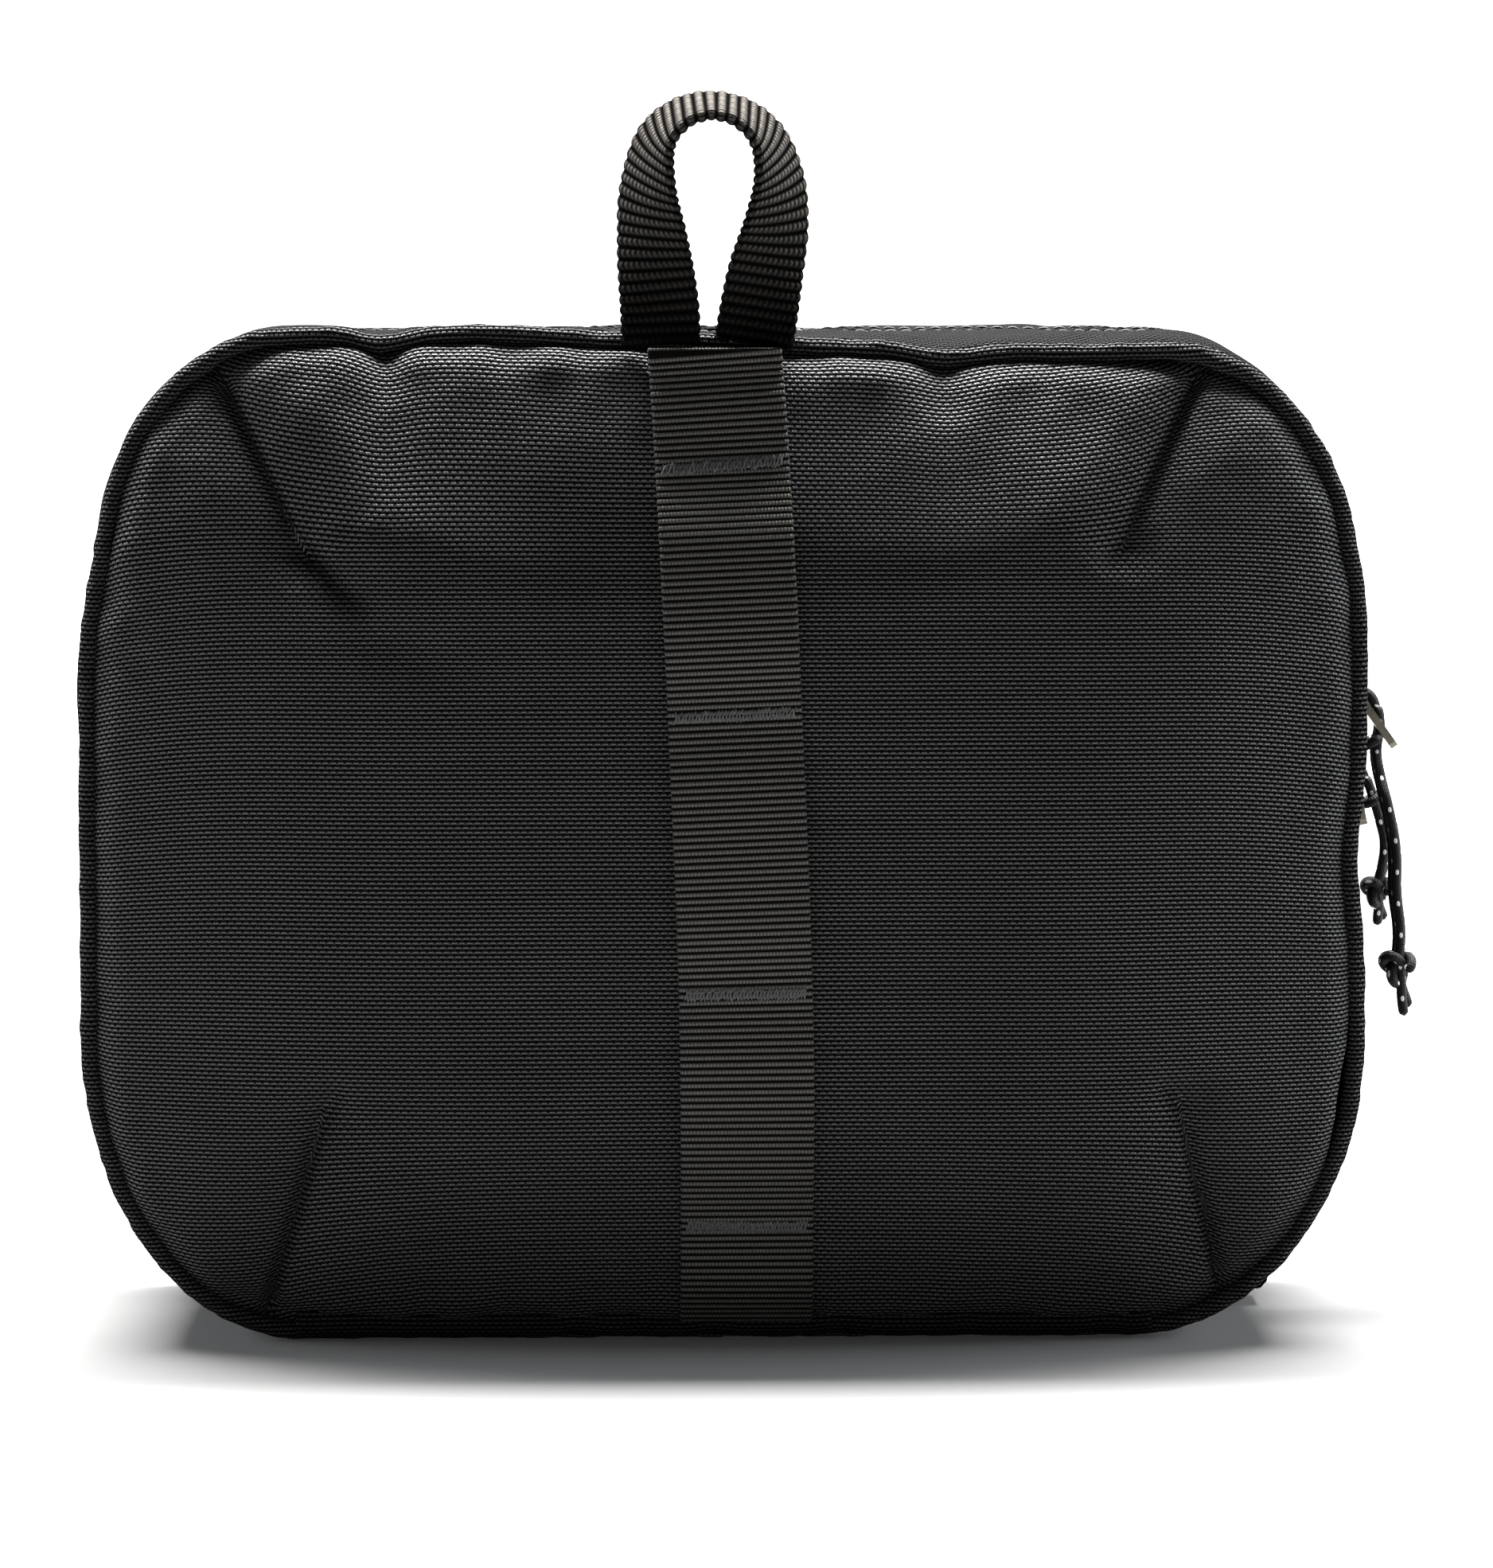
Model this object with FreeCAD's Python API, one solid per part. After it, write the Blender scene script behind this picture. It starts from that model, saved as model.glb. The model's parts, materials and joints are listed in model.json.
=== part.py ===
"""Hanging toiletry bag: a clamshell wash bag of padded woven fabric.

The front half is a deep tub with the attachment webbing and the hanging loop. The rear half is a shallow
tub that opens about a fold in the base. A two-slider coil zipper runs from one bottom corner, over the top,
to the other. Inside are an open mesh pocket, a zipped mesh pocket and a swivelling hook.

Frame, in millimetres: X across the bag, Y from the front panel to the rear panel, Z up. The origin is on the
floor, in the middle of the flat base.
"""

import FreeCAD
import Part
import math
import os

Vector = FreeCAD.Vector
X_AXIS = Vector(1, 0, 0)
Y_AXIS = Vector(0, 1, 0)
Z_AXIS = Vector(0, 0, 1)

# Driving dimensions
WIDTH = 240.0
HEIGHT = 188.0
TOP_RADIUS = 46.0
BOTTOM_RADIUS = 54.0
FRONT_SEAM_Y = -30.0
ZIP_Y = 17.0
REAR_SEAM_Y = 36.0
FRONT_CROWN = 16.0
REAR_CROWN = 6.0
CROWN_EDGE_RADIUS = 15.0
REAR_EDGE_RADIUS = 7.0

# Helpers for cuts: a margin that takes a cutter past what it cuts, and a depth beyond the whole bag
MARGIN = 1.0
BEYOND = 60.0
TOLERANCE = 1e-6

# Layers of the walls
SHELL = 1.0
PADDING = 2.0
LINING = 0.6
PIPING_RADIUS = 2.1
PIPING_INSET = 2.3
PANEL_INSET = 4.6
BINDING_INSET = 8.0
BINDING_THICKNESS = 1.6

# Zipper: the coils stay apart by twice COIL_CLEARANCE, so that the slider's post passes between them
COIL_CLEARANCE = 0.8
COIL_WIDTH = 1.6
COIL_OUTER_INSET = 0.35
COIL_INNER_INSET = 2.25
TAPE_REACH = 13.0
ZIP_SLOT_HALF = 5.0
FOLD_CLEARANCE = 0.3
EDGE_GAP = 0.1
BASE_HALF_WIDTH = 80.0
BASE_ZONE_HEIGHT = 30.0
END_TAB_LENGTH = 20.0
END_TAB_BREADTH = 12.0
END_TAB_THICKNESS = 2.8
END_TAB_FOLD_RADIUS = 1.26
END_TAB_LIFT = 0.2
END_TAB_TIP = {-1: 2.0, 1: 9.0}
END_TAB_SHIFT = {-1: 0.0, 1: 6.0}

# Webbing
WEBBING_WIDTH = 25.0
WEBBING_THICKNESS = 1.4
WEBBING_END_Y = -36.0
TACK_HEIGHTS = (23.0, 67.5, 119.5, 165.5)
TACK_LENGTH = 23.0
TACK_BREADTH = 2.2
TACK_THICKNESS = 0.5

# Hanging loop: a strap whose flat ends stand side by side and which turns edge-on over the top
LOOP_STRAP_WIDTH = 15.0
LOOP_STRAP_THICKNESS = 2.6
LOOP_X = -2.0
LOOP_Y = -33.8
LOOP_HINGE_Z = 188.6
LOOP_FOOT_Z = 184.2
LOOP_FOOT_X = 8.1
LOOP_SHOULDER_X = 12.5
LOOP_SHOULDER_Z = 217.5
LOOP_ARCH_HEIGHT = 14.0
LOOP_SECTIONS_PER_LEG = 6
LOOP_ARCH_SECTIONS = 9
LOOP_TWIST = 76.0
LOOP_FLAT_LENGTH = 9.0

# Sliders and pulls, on the right-hand side
SLIDER_LENGTH = 12.0
SLIDER_HALF_WIDTH = 4.6
SLIDER_HEIGHTS = {"upper": 119.6, "lower": 106.6}
PLATE_THICKNESS = 1.4
PLATE_CORNER_RADIUS = 2.2
TOP_PLATE_GAP = 0.1
TOP_PLATE_RISE = 0.15
WELD_OVERLAP = 0.1
COIL_ROOM = 2.25
POCKET_COIL_ROOM = 1.85
LIP_DROP = 0.4
POCKET_LIP_DROP = -0.05
LIP_THICKNESS = 0.9
LIP_HALF_LENGTH = 3.5
POST_HALF_WIDTH = 0.55
POST_FAR = 4.0
POST_NEAR = 1.2
BRIDGE_HALF_WIDTH = 0.7
BRIDGE_HALF_LENGTH = 4.0
BRIDGE_RISE = 3.0
BRIDGE_CROWN_RADIUS = 2.0
BRIDGE_WINDOW_HALF = 2.7
PIVOT_RISE = 1.0
PULL_BAR_RADIUS = 0.75
PULL_LENGTH = 15.0
PULL_RING_HALF = 3.4
PULL_PLATE_HALF = 1.5
PULL_RING_LENGTH = 5.4
PULL_RING_WALL = 0.6
PULL_FOOT_ROUNDING = 0.8
PULL_SLOT_WALL = 0.8
PULL_SLOT_SPAN = (2.2, 5.4)
PULL_SIDE_SHIFT = 1.7
CORD_SIDE_SHIFT = 1.7
PULL_LEAN = {"upper": 35.5, "lower": 12.0}
CORD_TUBE_RADIUS = 1.4
CORD_TILT = 6.0
BEND_SHARE = 0.45
KNOT_RADIUS = 3.2

# Points of each pull cord, as (outward from the pivot, down from the pivot)
CORD_ROUTES = {
    "upper": (
        (5.4, 4.3), (6.3, 8.0), (5.0, 12.4), (5.6, 18.0), (7.3, 25.0),
        (8.5, 32.5), (8.2, 40.0), (9.4, 47.4), (8.6, 54.6), (10.8, 63.6),
    ),
    "lower": (
        (3.7, 5.4), (5.2, 9.4), (6.6, 13.6), (8.0, 18.4), (7.4, 23.4), (6.0, 28.2), (7.4, 34.9),
    ),
}
KNOT_PLACES = {"upper": (8.8, 54.2), "lower": (6.2, 28.0)}

# Pockets inside
MESH_THICKNESS = 0.6
MESH_INSET = 3.0
FRONT_POCKET_TOP = 94.0
ELASTIC_HEIGHT = 4.0
POCKET_ZIP_Z = 142.0
POCKET_ZIP_HALF = 95.0
POCKET_SLIDER_X = 84.0
POCKET_SLIDER_LENGTH = 10.0
POCKET_PULL_LENGTH = 18.0
POCKET_PULL_HALF = 2.2
POCKET_SLIDER_HALF_WIDTH = 4.0
POCKET_TAPE_OVERLAP = 6.0
POCKET_TAPE_SPAN = (2.0, 12.0)
POCKET_COIL_SPAN = (0.7, 2.0)
POCKET_COIL_FRONT = 0.5
POCKET_COIL_REAR = 1.0

# Hook inside the top of the front half
HOOK_Y = -2.0
HOOK_BAR_Z = 172.8
HOOK_BAR_RADIUS = 1.1
HOOK_EYE_CLEARANCE = 0.3
HOOK_TAB_WIDTH = 20.0
HOOK_TAB_HALF_DEPTH = 2.6
HOOK_TAB_DROP = 2.8
SWIVEL_OVERHANG = 3.0
SWIVEL_ARM_SIDE_GAP = 0.8
SWIVEL_ARM_WIDTH = 2.2
SWIVEL_ARM_HALF_DEPTH = 1.4
SWIVEL_BEAM_HALF_DEPTH = 1.8
SWIVEL_BEAM_HEIGHT = 3.0
SWIVEL_DROP = 13.8
BARREL_RADIUS = 4.2
BARREL_LENGTH = 6.5
HOOK_ROD_RADIUS = 2.3
HOOK_STEM_RADIUS = 2.0
HOOK_BORE_RADIUS = 2.05
HOOK_HEAD_RADIUS = 3.2
HOOK_HEAD_HEIGHT = 1.6
HOOK_END_PLAY = 0.1
HOOK_NECK_START = 1.0
HOOK_CROOK_RADIUS = 14.0
HOOK_NECK_LENGTH = 12.0
HOOK_SHOULDER_DROP = 20.0
HOOK_CROOK_DROP = 46.0
HOOK_TIP_DROP = 26.0
HOOK_NECK_RADII = (7.0, 8.0)

SIDE_X = WIDTH / 2
FRONT_EDGE_Y = FRONT_SEAM_Y + PIPING_RADIUS + EDGE_GAP
REAR_EDGE_Y = REAR_SEAM_Y - PIPING_RADIUS - EDGE_GAP
FRONT_FACE_Y = FRONT_SEAM_Y - FRONT_CROWN
REAR_FACE_Y = REAR_SEAM_Y + REAR_CROWN
MESH_Y = REAR_EDGE_Y - BINDING_THICKNESS - MESH_THICKNESS


def box(x0, x1, y0, y1, z0, z1):
    return Part.makeBox(x1 - x0, y1 - y0, z1 - z0, Vector(x0, y0, z0))


def outline(inset, y):
    """The bag's rounded outline as a wire in the plane at y, moved inwards by inset."""
    w = SIDE_X - inset
    low = inset
    high = HEIGHT - inset
    top = TOP_RADIUS - inset
    bottom = BOTTOM_RADIUS - inset
    corners = (
        (w - bottom, low + bottom, bottom, -90),
        (w - top, high - top, top, 0),
        (-w + top, high - top, top, 90),
        (-w + bottom, low + bottom, bottom, 180),
    )
    arcs = []
    for x, z, radius, start in corners:
        points = []
        for turn in (0, 45, 90):
            angle = math.radians(start + turn)
            points.append(Vector(x + radius * math.cos(angle), y, z + radius * math.sin(angle)))
        arcs.append(points)
    edges = []
    for i, points in enumerate(arcs):
        edges.append(Part.Arc(*points).toShape())
        following = arcs[(i + 1) % len(arcs)][0]
        edges.append(Part.LineSegment(points[2], following).toShape())
    return Part.Wire(edges)


def slab(inset, y0, y1):
    return Part.Face(outline(inset, y0)).extrude(Vector(0, y1 - y0, 0))


def ring(outer, inner, y0, y1):
    """A band that follows the outline, from inset outer to inset inner."""
    return slab(outer, y0, y1).cut(slab(inner, y0 - MARGIN, y1 + MARGIN))


def pillow(inset, open_y, face_y, edge_radius):
    """A slab from open_y to face_y whose edges at face_y are rounded."""
    body = slab(inset, open_y, face_y)
    rim = [e for e in body.Edges if all(abs(v.Y - face_y) < TOLERANCE for v in e.Vertexes)]
    return body.makeFillet(edge_radius, rim)


def pan(inset, open_y, face_y, edge_radius, thickness):
    """A pillow hollowed to a wall of one thickness, open at open_y."""
    inward = 1 if face_y < open_y else -1
    hollow = pillow(
        inset + thickness, open_y + inward * MARGIN, face_y + inward * thickness, edge_radius - thickness
    )
    return pillow(inset, open_y, face_y, edge_radius).cut(hollow)


def base_zone():
    """The part of the outline's bottom where the base panel runs and the zipper doesn't."""
    return box(-BASE_HALF_WIDTH, BASE_HALF_WIDTH, -BEYOND, BEYOND, -MARGIN, BASE_ZONE_HEIGHT)


def horseshoe(outer, inner, y0, y1):
    """A ring without its base: up one side, over the top and down the other."""
    return ring(outer, inner, y0, y1).cut(base_zone())


def base_strip(outer, inner, y0, y1):
    return ring(outer, inner, y0, y1).common(base_zone())


def rounded_path(points, radii):
    """A wire of straight runs joined by tangent arcs; radii holds one radius for each inner point."""
    edges = []
    at = points[0]
    for before, corner, after, radius in zip(points, points[1:], points[2:], radii):
        back = (before - corner).normalize()
        ahead = (after - corner).normalize()
        half = back.getAngle(ahead) / 2
        reach = radius / math.tan(half)
        middle = (back + ahead).normalize()
        start = corner + back * reach
        end = corner + ahead * reach
        top = corner + middle * (radius / math.sin(half) - radius)
        if (start - at).Length > TOLERANCE:
            edges.append(Part.LineSegment(at, start).toShape())
        edges.append(Part.Arc(start, top, end).toShape())
        at = end
    if (points[-1] - at).Length > TOLERANCE:
        edges.append(Part.LineSegment(at, points[-1]).toShape())
    return Part.Wire(edges)


def tube(path, start, direction, radius):
    """A round bar along a path that begins at start in that direction."""
    section = Part.Wire([Part.makeCircle(radius, start, direction)])
    made = path.makePipeShell([section], True, False)
    return made if made.Volume > 0 else made.reversed()


# Front half


def front_panel():
    return pan(PANEL_INSET, FRONT_EDGE_Y, FRONT_FACE_Y, CROWN_EDGE_RADIUS, SHELL)


def front_padding():
    return pan(PANEL_INSET + SHELL, FRONT_EDGE_Y, FRONT_FACE_Y + SHELL, CROWN_EDGE_RADIUS - SHELL, PADDING)


def front_lining():
    depth = SHELL + PADDING
    return pan(PANEL_INSET + depth, FRONT_EDGE_Y, FRONT_FACE_Y + depth, CROWN_EDGE_RADIUS - depth, LINING)


def piping(y):
    """A covered cord in the seam between a panel and its gusset."""
    path = outline(PIPING_INSET, y)
    start = path.Edges[1].Vertexes[0].Point
    direction = path.Edges[1].tangentAt(path.Edges[1].FirstParameter)
    return tube(path, start, direction, PIPING_RADIUS)


def front_seam_binding():
    return ring(SHELL, BINDING_INSET, FRONT_EDGE_Y, FRONT_EDGE_Y + BINDING_THICKNESS)


def front_gusset():
    return horseshoe(0, SHELL, FRONT_EDGE_Y, ZIP_Y - ZIP_SLOT_HALF)


def front_gusset_lining():
    tape_y = ZIP_Y - TAPE_REACH
    whole = ring(SHELL, SHELL + LINING, FRONT_EDGE_Y + BINDING_THICKNESS, tape_y)
    return whole.fuse(base_strip(SHELL, SHELL + LINING, tape_y, ZIP_Y - FOLD_CLEARANCE)).removeSplitter()


def base_panel_front():
    return base_strip(0, SHELL, FRONT_EDGE_Y, ZIP_Y - FOLD_CLEARANCE)


def front_zip_tape():
    return horseshoe(SHELL, SHELL + LINING, ZIP_Y - TAPE_REACH, ZIP_Y - COIL_CLEARANCE - COIL_WIDTH)


def front_zip_coil():
    far = ZIP_Y - COIL_CLEARANCE
    return horseshoe(COIL_OUTER_INSET, COIL_INNER_INSET, far - COIL_WIDTH, far)


def zip_end_tab(side):
    """A folded webbing tab sewn over the zipper's end; the left one lies flat and the right one tips up."""
    edge = ZIP_Y - FOLD_CLEARANCE
    tab = box(0, END_TAB_LENGTH, edge - END_TAB_BREADTH, edge, 0, END_TAB_THICKNESS)
    end = [e for e in tab.Edges if all(abs(v.X - END_TAB_LENGTH) < TOLERANCE for v in e.Vertexes)]
    fold = [e for e in end if e.Length > END_TAB_BREADTH - MARGIN]
    tab = tab.makeFillet(END_TAB_FOLD_RADIUS, fold)
    tab.rotate(Vector(0, 0, 0), Y_AXIS, -END_TAB_TIP[side])
    tab.translate(Vector(BASE_HALF_WIDTH + END_TAB_SHIFT[side], 0, END_TAB_LIFT))
    if side < 0:
        tab = tab.mirror(Vector(0, 0, 0), X_AXIS)
    return tab.cut(slab(-EDGE_GAP / 2, -BEYOND, BEYOND))


def daisy_webbing():
    """A strip of webbing up the middle of the front panel, which follows its crown."""
    grown = WEBBING_THICKNESS
    skin = pillow(PANEL_INSET - grown, FRONT_EDGE_Y, FRONT_FACE_Y - grown, CROWN_EDGE_RADIUS + grown)
    skin = skin.cut(pillow(PANEL_INSET, FRONT_EDGE_Y + MARGIN, FRONT_FACE_Y, CROWN_EDGE_RADIUS))
    half = WEBBING_WIDTH / 2
    return skin.common(box(-half, half, -BEYOND, WEBBING_END_Y, -MARGIN, HEIGHT + MARGIN))


def daisy_bar_tacks():
    """Rows of tight stitches that divide the webbing into loops."""
    face = FRONT_FACE_Y - WEBBING_THICKNESS
    half = TACK_LENGTH / 2
    rise = TACK_BREADTH / 2
    return Part.makeCompound(
        [box(-half, half, face - TACK_THICKNESS, face, z - rise, z + rise) for z in TACK_HEIGHTS]
    )


def loop_section(x, z, tangent_angle, twist):
    """The strap's rectangle at a point of its middle line; twist turns its width towards Y."""
    along = Vector(math.cos(tangent_angle), 0, math.sin(tangent_angle))
    across = Vector(-along.z, 0, along.x)
    width = across * math.cos(twist) - Y_AXIS * math.sin(twist)
    thickness = along.cross(width)
    centre = Vector(LOOP_X + x, LOOP_Y, z)
    a = width * (LOOP_STRAP_WIDTH / 2)
    b = thickness * (LOOP_STRAP_THICKNESS / 2)
    return Part.makePolygon([centre + a + b, centre - a + b, centre - a - b, centre + a - b, centre + a + b])


def hang_loop():
    """The free part of the loop, above the line where it folds."""
    rise = LOOP_SHOULDER_Z - LOOP_FOOT_Z
    lean = LOOP_SHOULDER_X - LOOP_FOOT_X
    leg_angle = math.atan2(rise, lean)
    leg_length = math.hypot(rise, lean)
    arch_length = math.pi / 2 * (LOOP_SHOULDER_X + LOOP_ARCH_HEIGHT) / 2
    stations = []
    first = (LOOP_HINGE_Z - LOOP_STRAP_THICKNESS - LOOP_FOOT_Z) / rise
    for i in range(LOOP_SECTIONS_PER_LEG):
        share = first + (1 - first) * i / LOOP_SECTIONS_PER_LEG
        place = (LOOP_FOOT_X + lean * share, LOOP_FOOT_Z + rise * share)
        stations.append((*place, leg_angle, share * leg_length))
    for i in range(LOOP_ARCH_SECTIONS):
        angle = math.pi / 2 * i / (LOOP_ARCH_SECTIONS - 1)
        x = LOOP_SHOULDER_X * math.cos(angle)
        z = LOOP_SHOULDER_Z + LOOP_ARCH_HEIGHT * math.sin(angle)
        tangent = math.atan2(LOOP_ARCH_HEIGHT * math.cos(angle), -LOOP_SHOULDER_X * math.sin(angle))
        stations.append((x, z, tangent, leg_length + arch_length * angle / (math.pi / 2)))
    whole = leg_length + arch_length
    turn = math.radians(LOOP_TWIST) / (whole - LOOP_FLAT_LENGTH)
    right = [(x, z, tangent, turn * max(s - LOOP_FLAT_LENGTH, 0)) for x, z, tangent, s in stations]
    left = [(-x, z, -tangent, twist) for x, z, tangent, twist in reversed(right[:-1])]
    sections = [loop_section(*place) for place in right + left]
    strap = Part.makeLoft(sections, True, True)
    below = box(-WIDTH, WIDTH, -BEYOND, 0, HEIGHT - LOOP_STRAP_WIDTH, LOOP_HINGE_Z)
    return strap.cut(below)


def hang_loop_anchor():
    """The loop's two flat ends, sewn into the front seam."""
    half = LOOP_STRAP_WIDTH / 2
    depth = LOOP_STRAP_THICKNESS / 2
    top = LOOP_HINGE_Z - LOOP_STRAP_THICKNESS
    feet = []
    for side in (-1, 1):
        x = LOOP_X + side * LOOP_FOOT_X
        feet.append(box(x - half, x + half, LOOP_Y - depth, LOOP_Y + depth, LOOP_FOOT_Z, top))
    return Part.makeCompound(feet)


def front_mesh_pocket():
    y = FRONT_EDGE_Y + BINDING_THICKNESS
    return slab(MESH_INSET, y, y + MESH_THICKNESS).common(
        box(-WIDTH, WIDTH, -BEYOND, BEYOND, -MARGIN, FRONT_POCKET_TOP)
    )


def front_pocket_elastic():
    """The elastic that gathers the open pocket's top edge."""
    y = FRONT_EDGE_Y + BINDING_THICKNESS
    half = SIDE_X - MESH_INSET
    return box(-half, half, y, y + BINDING_THICKNESS, FRONT_POCKET_TOP, FRONT_POCKET_TOP + ELASTIC_HEIGHT)


# Rear half


def rear_panel():
    return pan(PANEL_INSET, REAR_EDGE_Y, REAR_FACE_Y, REAR_EDGE_RADIUS, SHELL)


def rear_padding():
    return pan(PANEL_INSET + SHELL, REAR_EDGE_Y, REAR_FACE_Y - SHELL, REAR_EDGE_RADIUS - SHELL, PADDING)


def rear_lining():
    depth = SHELL + PADDING
    return pan(PANEL_INSET + depth, REAR_EDGE_Y, REAR_FACE_Y - depth, REAR_EDGE_RADIUS - depth, LINING)


def rear_seam_binding():
    return ring(SHELL, BINDING_INSET, REAR_EDGE_Y - BINDING_THICKNESS, REAR_EDGE_Y)


def rear_gusset():
    return horseshoe(0, SHELL, ZIP_Y + ZIP_SLOT_HALF, REAR_EDGE_Y)


def rear_gusset_lining():
    tape_y = ZIP_Y + TAPE_REACH
    whole = ring(SHELL, SHELL + LINING, tape_y, REAR_EDGE_Y - BINDING_THICKNESS)
    return whole.fuse(base_strip(SHELL, SHELL + LINING, ZIP_Y + FOLD_CLEARANCE, tape_y)).removeSplitter()


def base_panel_rear():
    return base_strip(0, SHELL, ZIP_Y + FOLD_CLEARANCE, REAR_EDGE_Y)


def rear_zip_tape():
    return horseshoe(SHELL, SHELL + LINING, ZIP_Y + COIL_CLEARANCE + COIL_WIDTH, ZIP_Y + TAPE_REACH)


def rear_zip_coil():
    near = ZIP_Y + COIL_CLEARANCE
    return horseshoe(COIL_OUTER_INSET, COIL_INNER_INSET, near, near + COIL_WIDTH)


def rear_mesh(side):
    """The mesh below (side -1) or above (side 1) the zipper of the rear pocket."""
    whole = slab(MESH_INSET, MESH_Y, MESH_Y + MESH_THICKNESS)
    edge = POCKET_ZIP_Z + side * POCKET_TAPE_OVERLAP
    low, high = (-MARGIN, edge) if side < 0 else (edge, HEIGHT)
    return whole.common(box(-WIDTH, WIDTH, -BEYOND, BEYOND, low, high))


def pocket_tape(side):
    """One side of the pocket zipper's tape, sewn to the front of the mesh."""
    low, high = sorted(POCKET_ZIP_Z + side * reach for reach in POCKET_TAPE_SPAN)
    return box(-POCKET_ZIP_HALF, POCKET_ZIP_HALF, MESH_Y - MESH_THICKNESS, MESH_Y, low, high)


def pocket_coil(side):
    low, high = sorted(POCKET_ZIP_Z + side * reach for reach in POCKET_COIL_SPAN)
    return box(
        -POCKET_ZIP_HALF, POCKET_ZIP_HALF, MESH_Y - POCKET_COIL_FRONT, MESH_Y + POCKET_COIL_REAR, low, high
    )


# Sliders and pulls


def slider_at_origin(length, half_width, gap, drop):
    """A slider that lies along Z with the coil's top at x 0 and its own top plate outwards in X.

    gap is the room under the top plate for the coils, and drop how far the lip at one side hangs into it.
    """
    plates = []
    for x0 in (TOP_PLATE_GAP + TOP_PLATE_RISE, -gap - PLATE_THICKNESS):
        plate = box(x0, x0 + PLATE_THICKNESS, -half_width, half_width, -length / 2, length / 2)
        ends = [e for e in plate.Edges if along_x(e)]
        plates.append(plate.makeFillet(PLATE_CORNER_RADIUS, ends))
    seat = TOP_PLATE_GAP + TOP_PLATE_RISE + WELD_OVERLAP
    post = box(
        -gap - WELD_OVERLAP, seat, -POST_HALF_WIDTH, POST_HALF_WIDTH,
        length / 2 - POST_FAR, length / 2 - POST_NEAR,
    )
    top = TOP_PLATE_GAP + TOP_PLATE_RISE + PLATE_THICKNESS
    bridge = box(
        top - WELD_OVERLAP, top + BRIDGE_RISE, -BRIDGE_HALF_WIDTH, BRIDGE_HALF_WIDTH,
        -BRIDGE_HALF_LENGTH, BRIDGE_HALF_LENGTH,
    )
    upper = [e for e in bridge.Edges if all(abs(v.X - top - BRIDGE_RISE) < TOLERANCE for v in e.Vertexes)]
    crown = [e for e in upper if e.Length < BRIDGE_HALF_LENGTH]
    bridge = bridge.makeFillet(BRIDGE_CROWN_RADIUS, crown)
    window = BRIDGE_WINDOW_HALF
    bridge = bridge.cut(box(top, top + 2 * PIVOT_RISE, -half_width, half_width, -window, window))
    lip = box(
        TOP_PLATE_GAP + TOP_PLATE_RISE - drop, seat, -half_width, -half_width + LIP_THICKNESS,
        -LIP_HALF_LENGTH, LIP_HALF_LENGTH,
    )
    return plates[0].multiFuse([plates[1], post, bridge, lip]).removeSplitter()


def along_x(edge):
    return abs(edge.tangentAt(edge.FirstParameter).x) > 1 - TOLERANCE


def slider(which):
    made = slider_at_origin(SLIDER_LENGTH, SLIDER_HALF_WIDTH, COIL_ROOM, LIP_DROP)
    if which == "lower":
        made.rotate(Vector(0, 0, 0), X_AXIS, 180)
        made = made.mirror(Vector(0, 0, 0), Y_AXIS)
    made.translate(Vector(SIDE_X - COIL_OUTER_INSET, ZIP_Y, SLIDER_HEIGHTS[which]))
    return made


def pivot_rise():
    """Height of a pull's bar above the top of the coil that its slider runs on."""
    return TOP_PLATE_GAP + TOP_PLATE_RISE + PLATE_THICKNESS + PIVOT_RISE


def pivot(which):
    """Where a pull's bar turns in its slider's bridge, to one side so that the pulls pass each other."""
    side = -1 if which == "upper" else 1
    x = SIDE_X - COIL_OUTER_INSET + pivot_rise()
    return Vector(x, ZIP_Y + side * PULL_SIDE_SHIFT, SLIDER_HEIGHTS[which])


def flat_pull(length, ring_half, plate_half, ring_length):
    """A metal pull that hangs down from a bar along Y at the origin, with a slot at its end for a cord."""
    half = PULL_BAR_RADIUS
    head = box(-half, half, -ring_half, ring_half, -ring_length, 0)
    plate = box(-half, half, -plate_half, plate_half, -length, -ring_length)
    foot = [
        e for e in plate.Edges if along_x(e) and all(abs(v.Z + length) < TOLERANCE for v in e.Vertexes)
    ]
    plate = plate.makeFillet(plate_half * PULL_FOOT_ROUNDING, foot)
    bar = Part.makeCylinder(half, 2 * ring_half, Vector(0, -ring_half, 0), Y_AXIS)
    inner = ring_half - PULL_RING_WALL
    window = box(-2 * half, 2 * half, -inner, inner, -ring_length + PULL_RING_WALL, 2 * half)
    inner = plate_half - PULL_SLOT_WALL
    near, far = PULL_SLOT_SPAN
    slot = box(-2 * half, 2 * half, -inner, inner, -length + near, -length + far)
    return head.fuse(plate).cut(window).cut(slot).fuse(bar).removeSplitter()


def pull_tab(which):
    """A slider's pull, which leans outwards."""
    tab = flat_pull(PULL_LENGTH, PULL_RING_HALF, PULL_PLATE_HALF, PULL_RING_LENGTH)
    tab.rotate(Vector(0, 0, 0), Y_AXIS, -PULL_LEAN[which])
    tab.translate(pivot(which))
    return tab


def cord_point(which, out, down):
    """A point of a pull cord: it drops in a plane that tilts away from the other pull."""
    side = -1 if which == "upper" else 1
    tilt = math.tan(math.radians(CORD_TILT)) * (down - PULL_RING_LENGTH)
    return pivot(which) + Vector(out, side * (CORD_SIDE_SHIFT + tilt), -down)


def arc_radii(points):
    """The radius at each inner point whose arc takes up a fixed share of the shorter run beside it."""
    radii = []
    for before, corner, after in zip(points, points[1:], points[2:]):
        turn = math.pi - (before - corner).getAngle(after - corner)
        shorter = min((before - corner).Length, (after - corner).Length)
        radii.append(BEND_SHARE * shorter / math.tan(turn / 2))
    return radii


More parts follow.
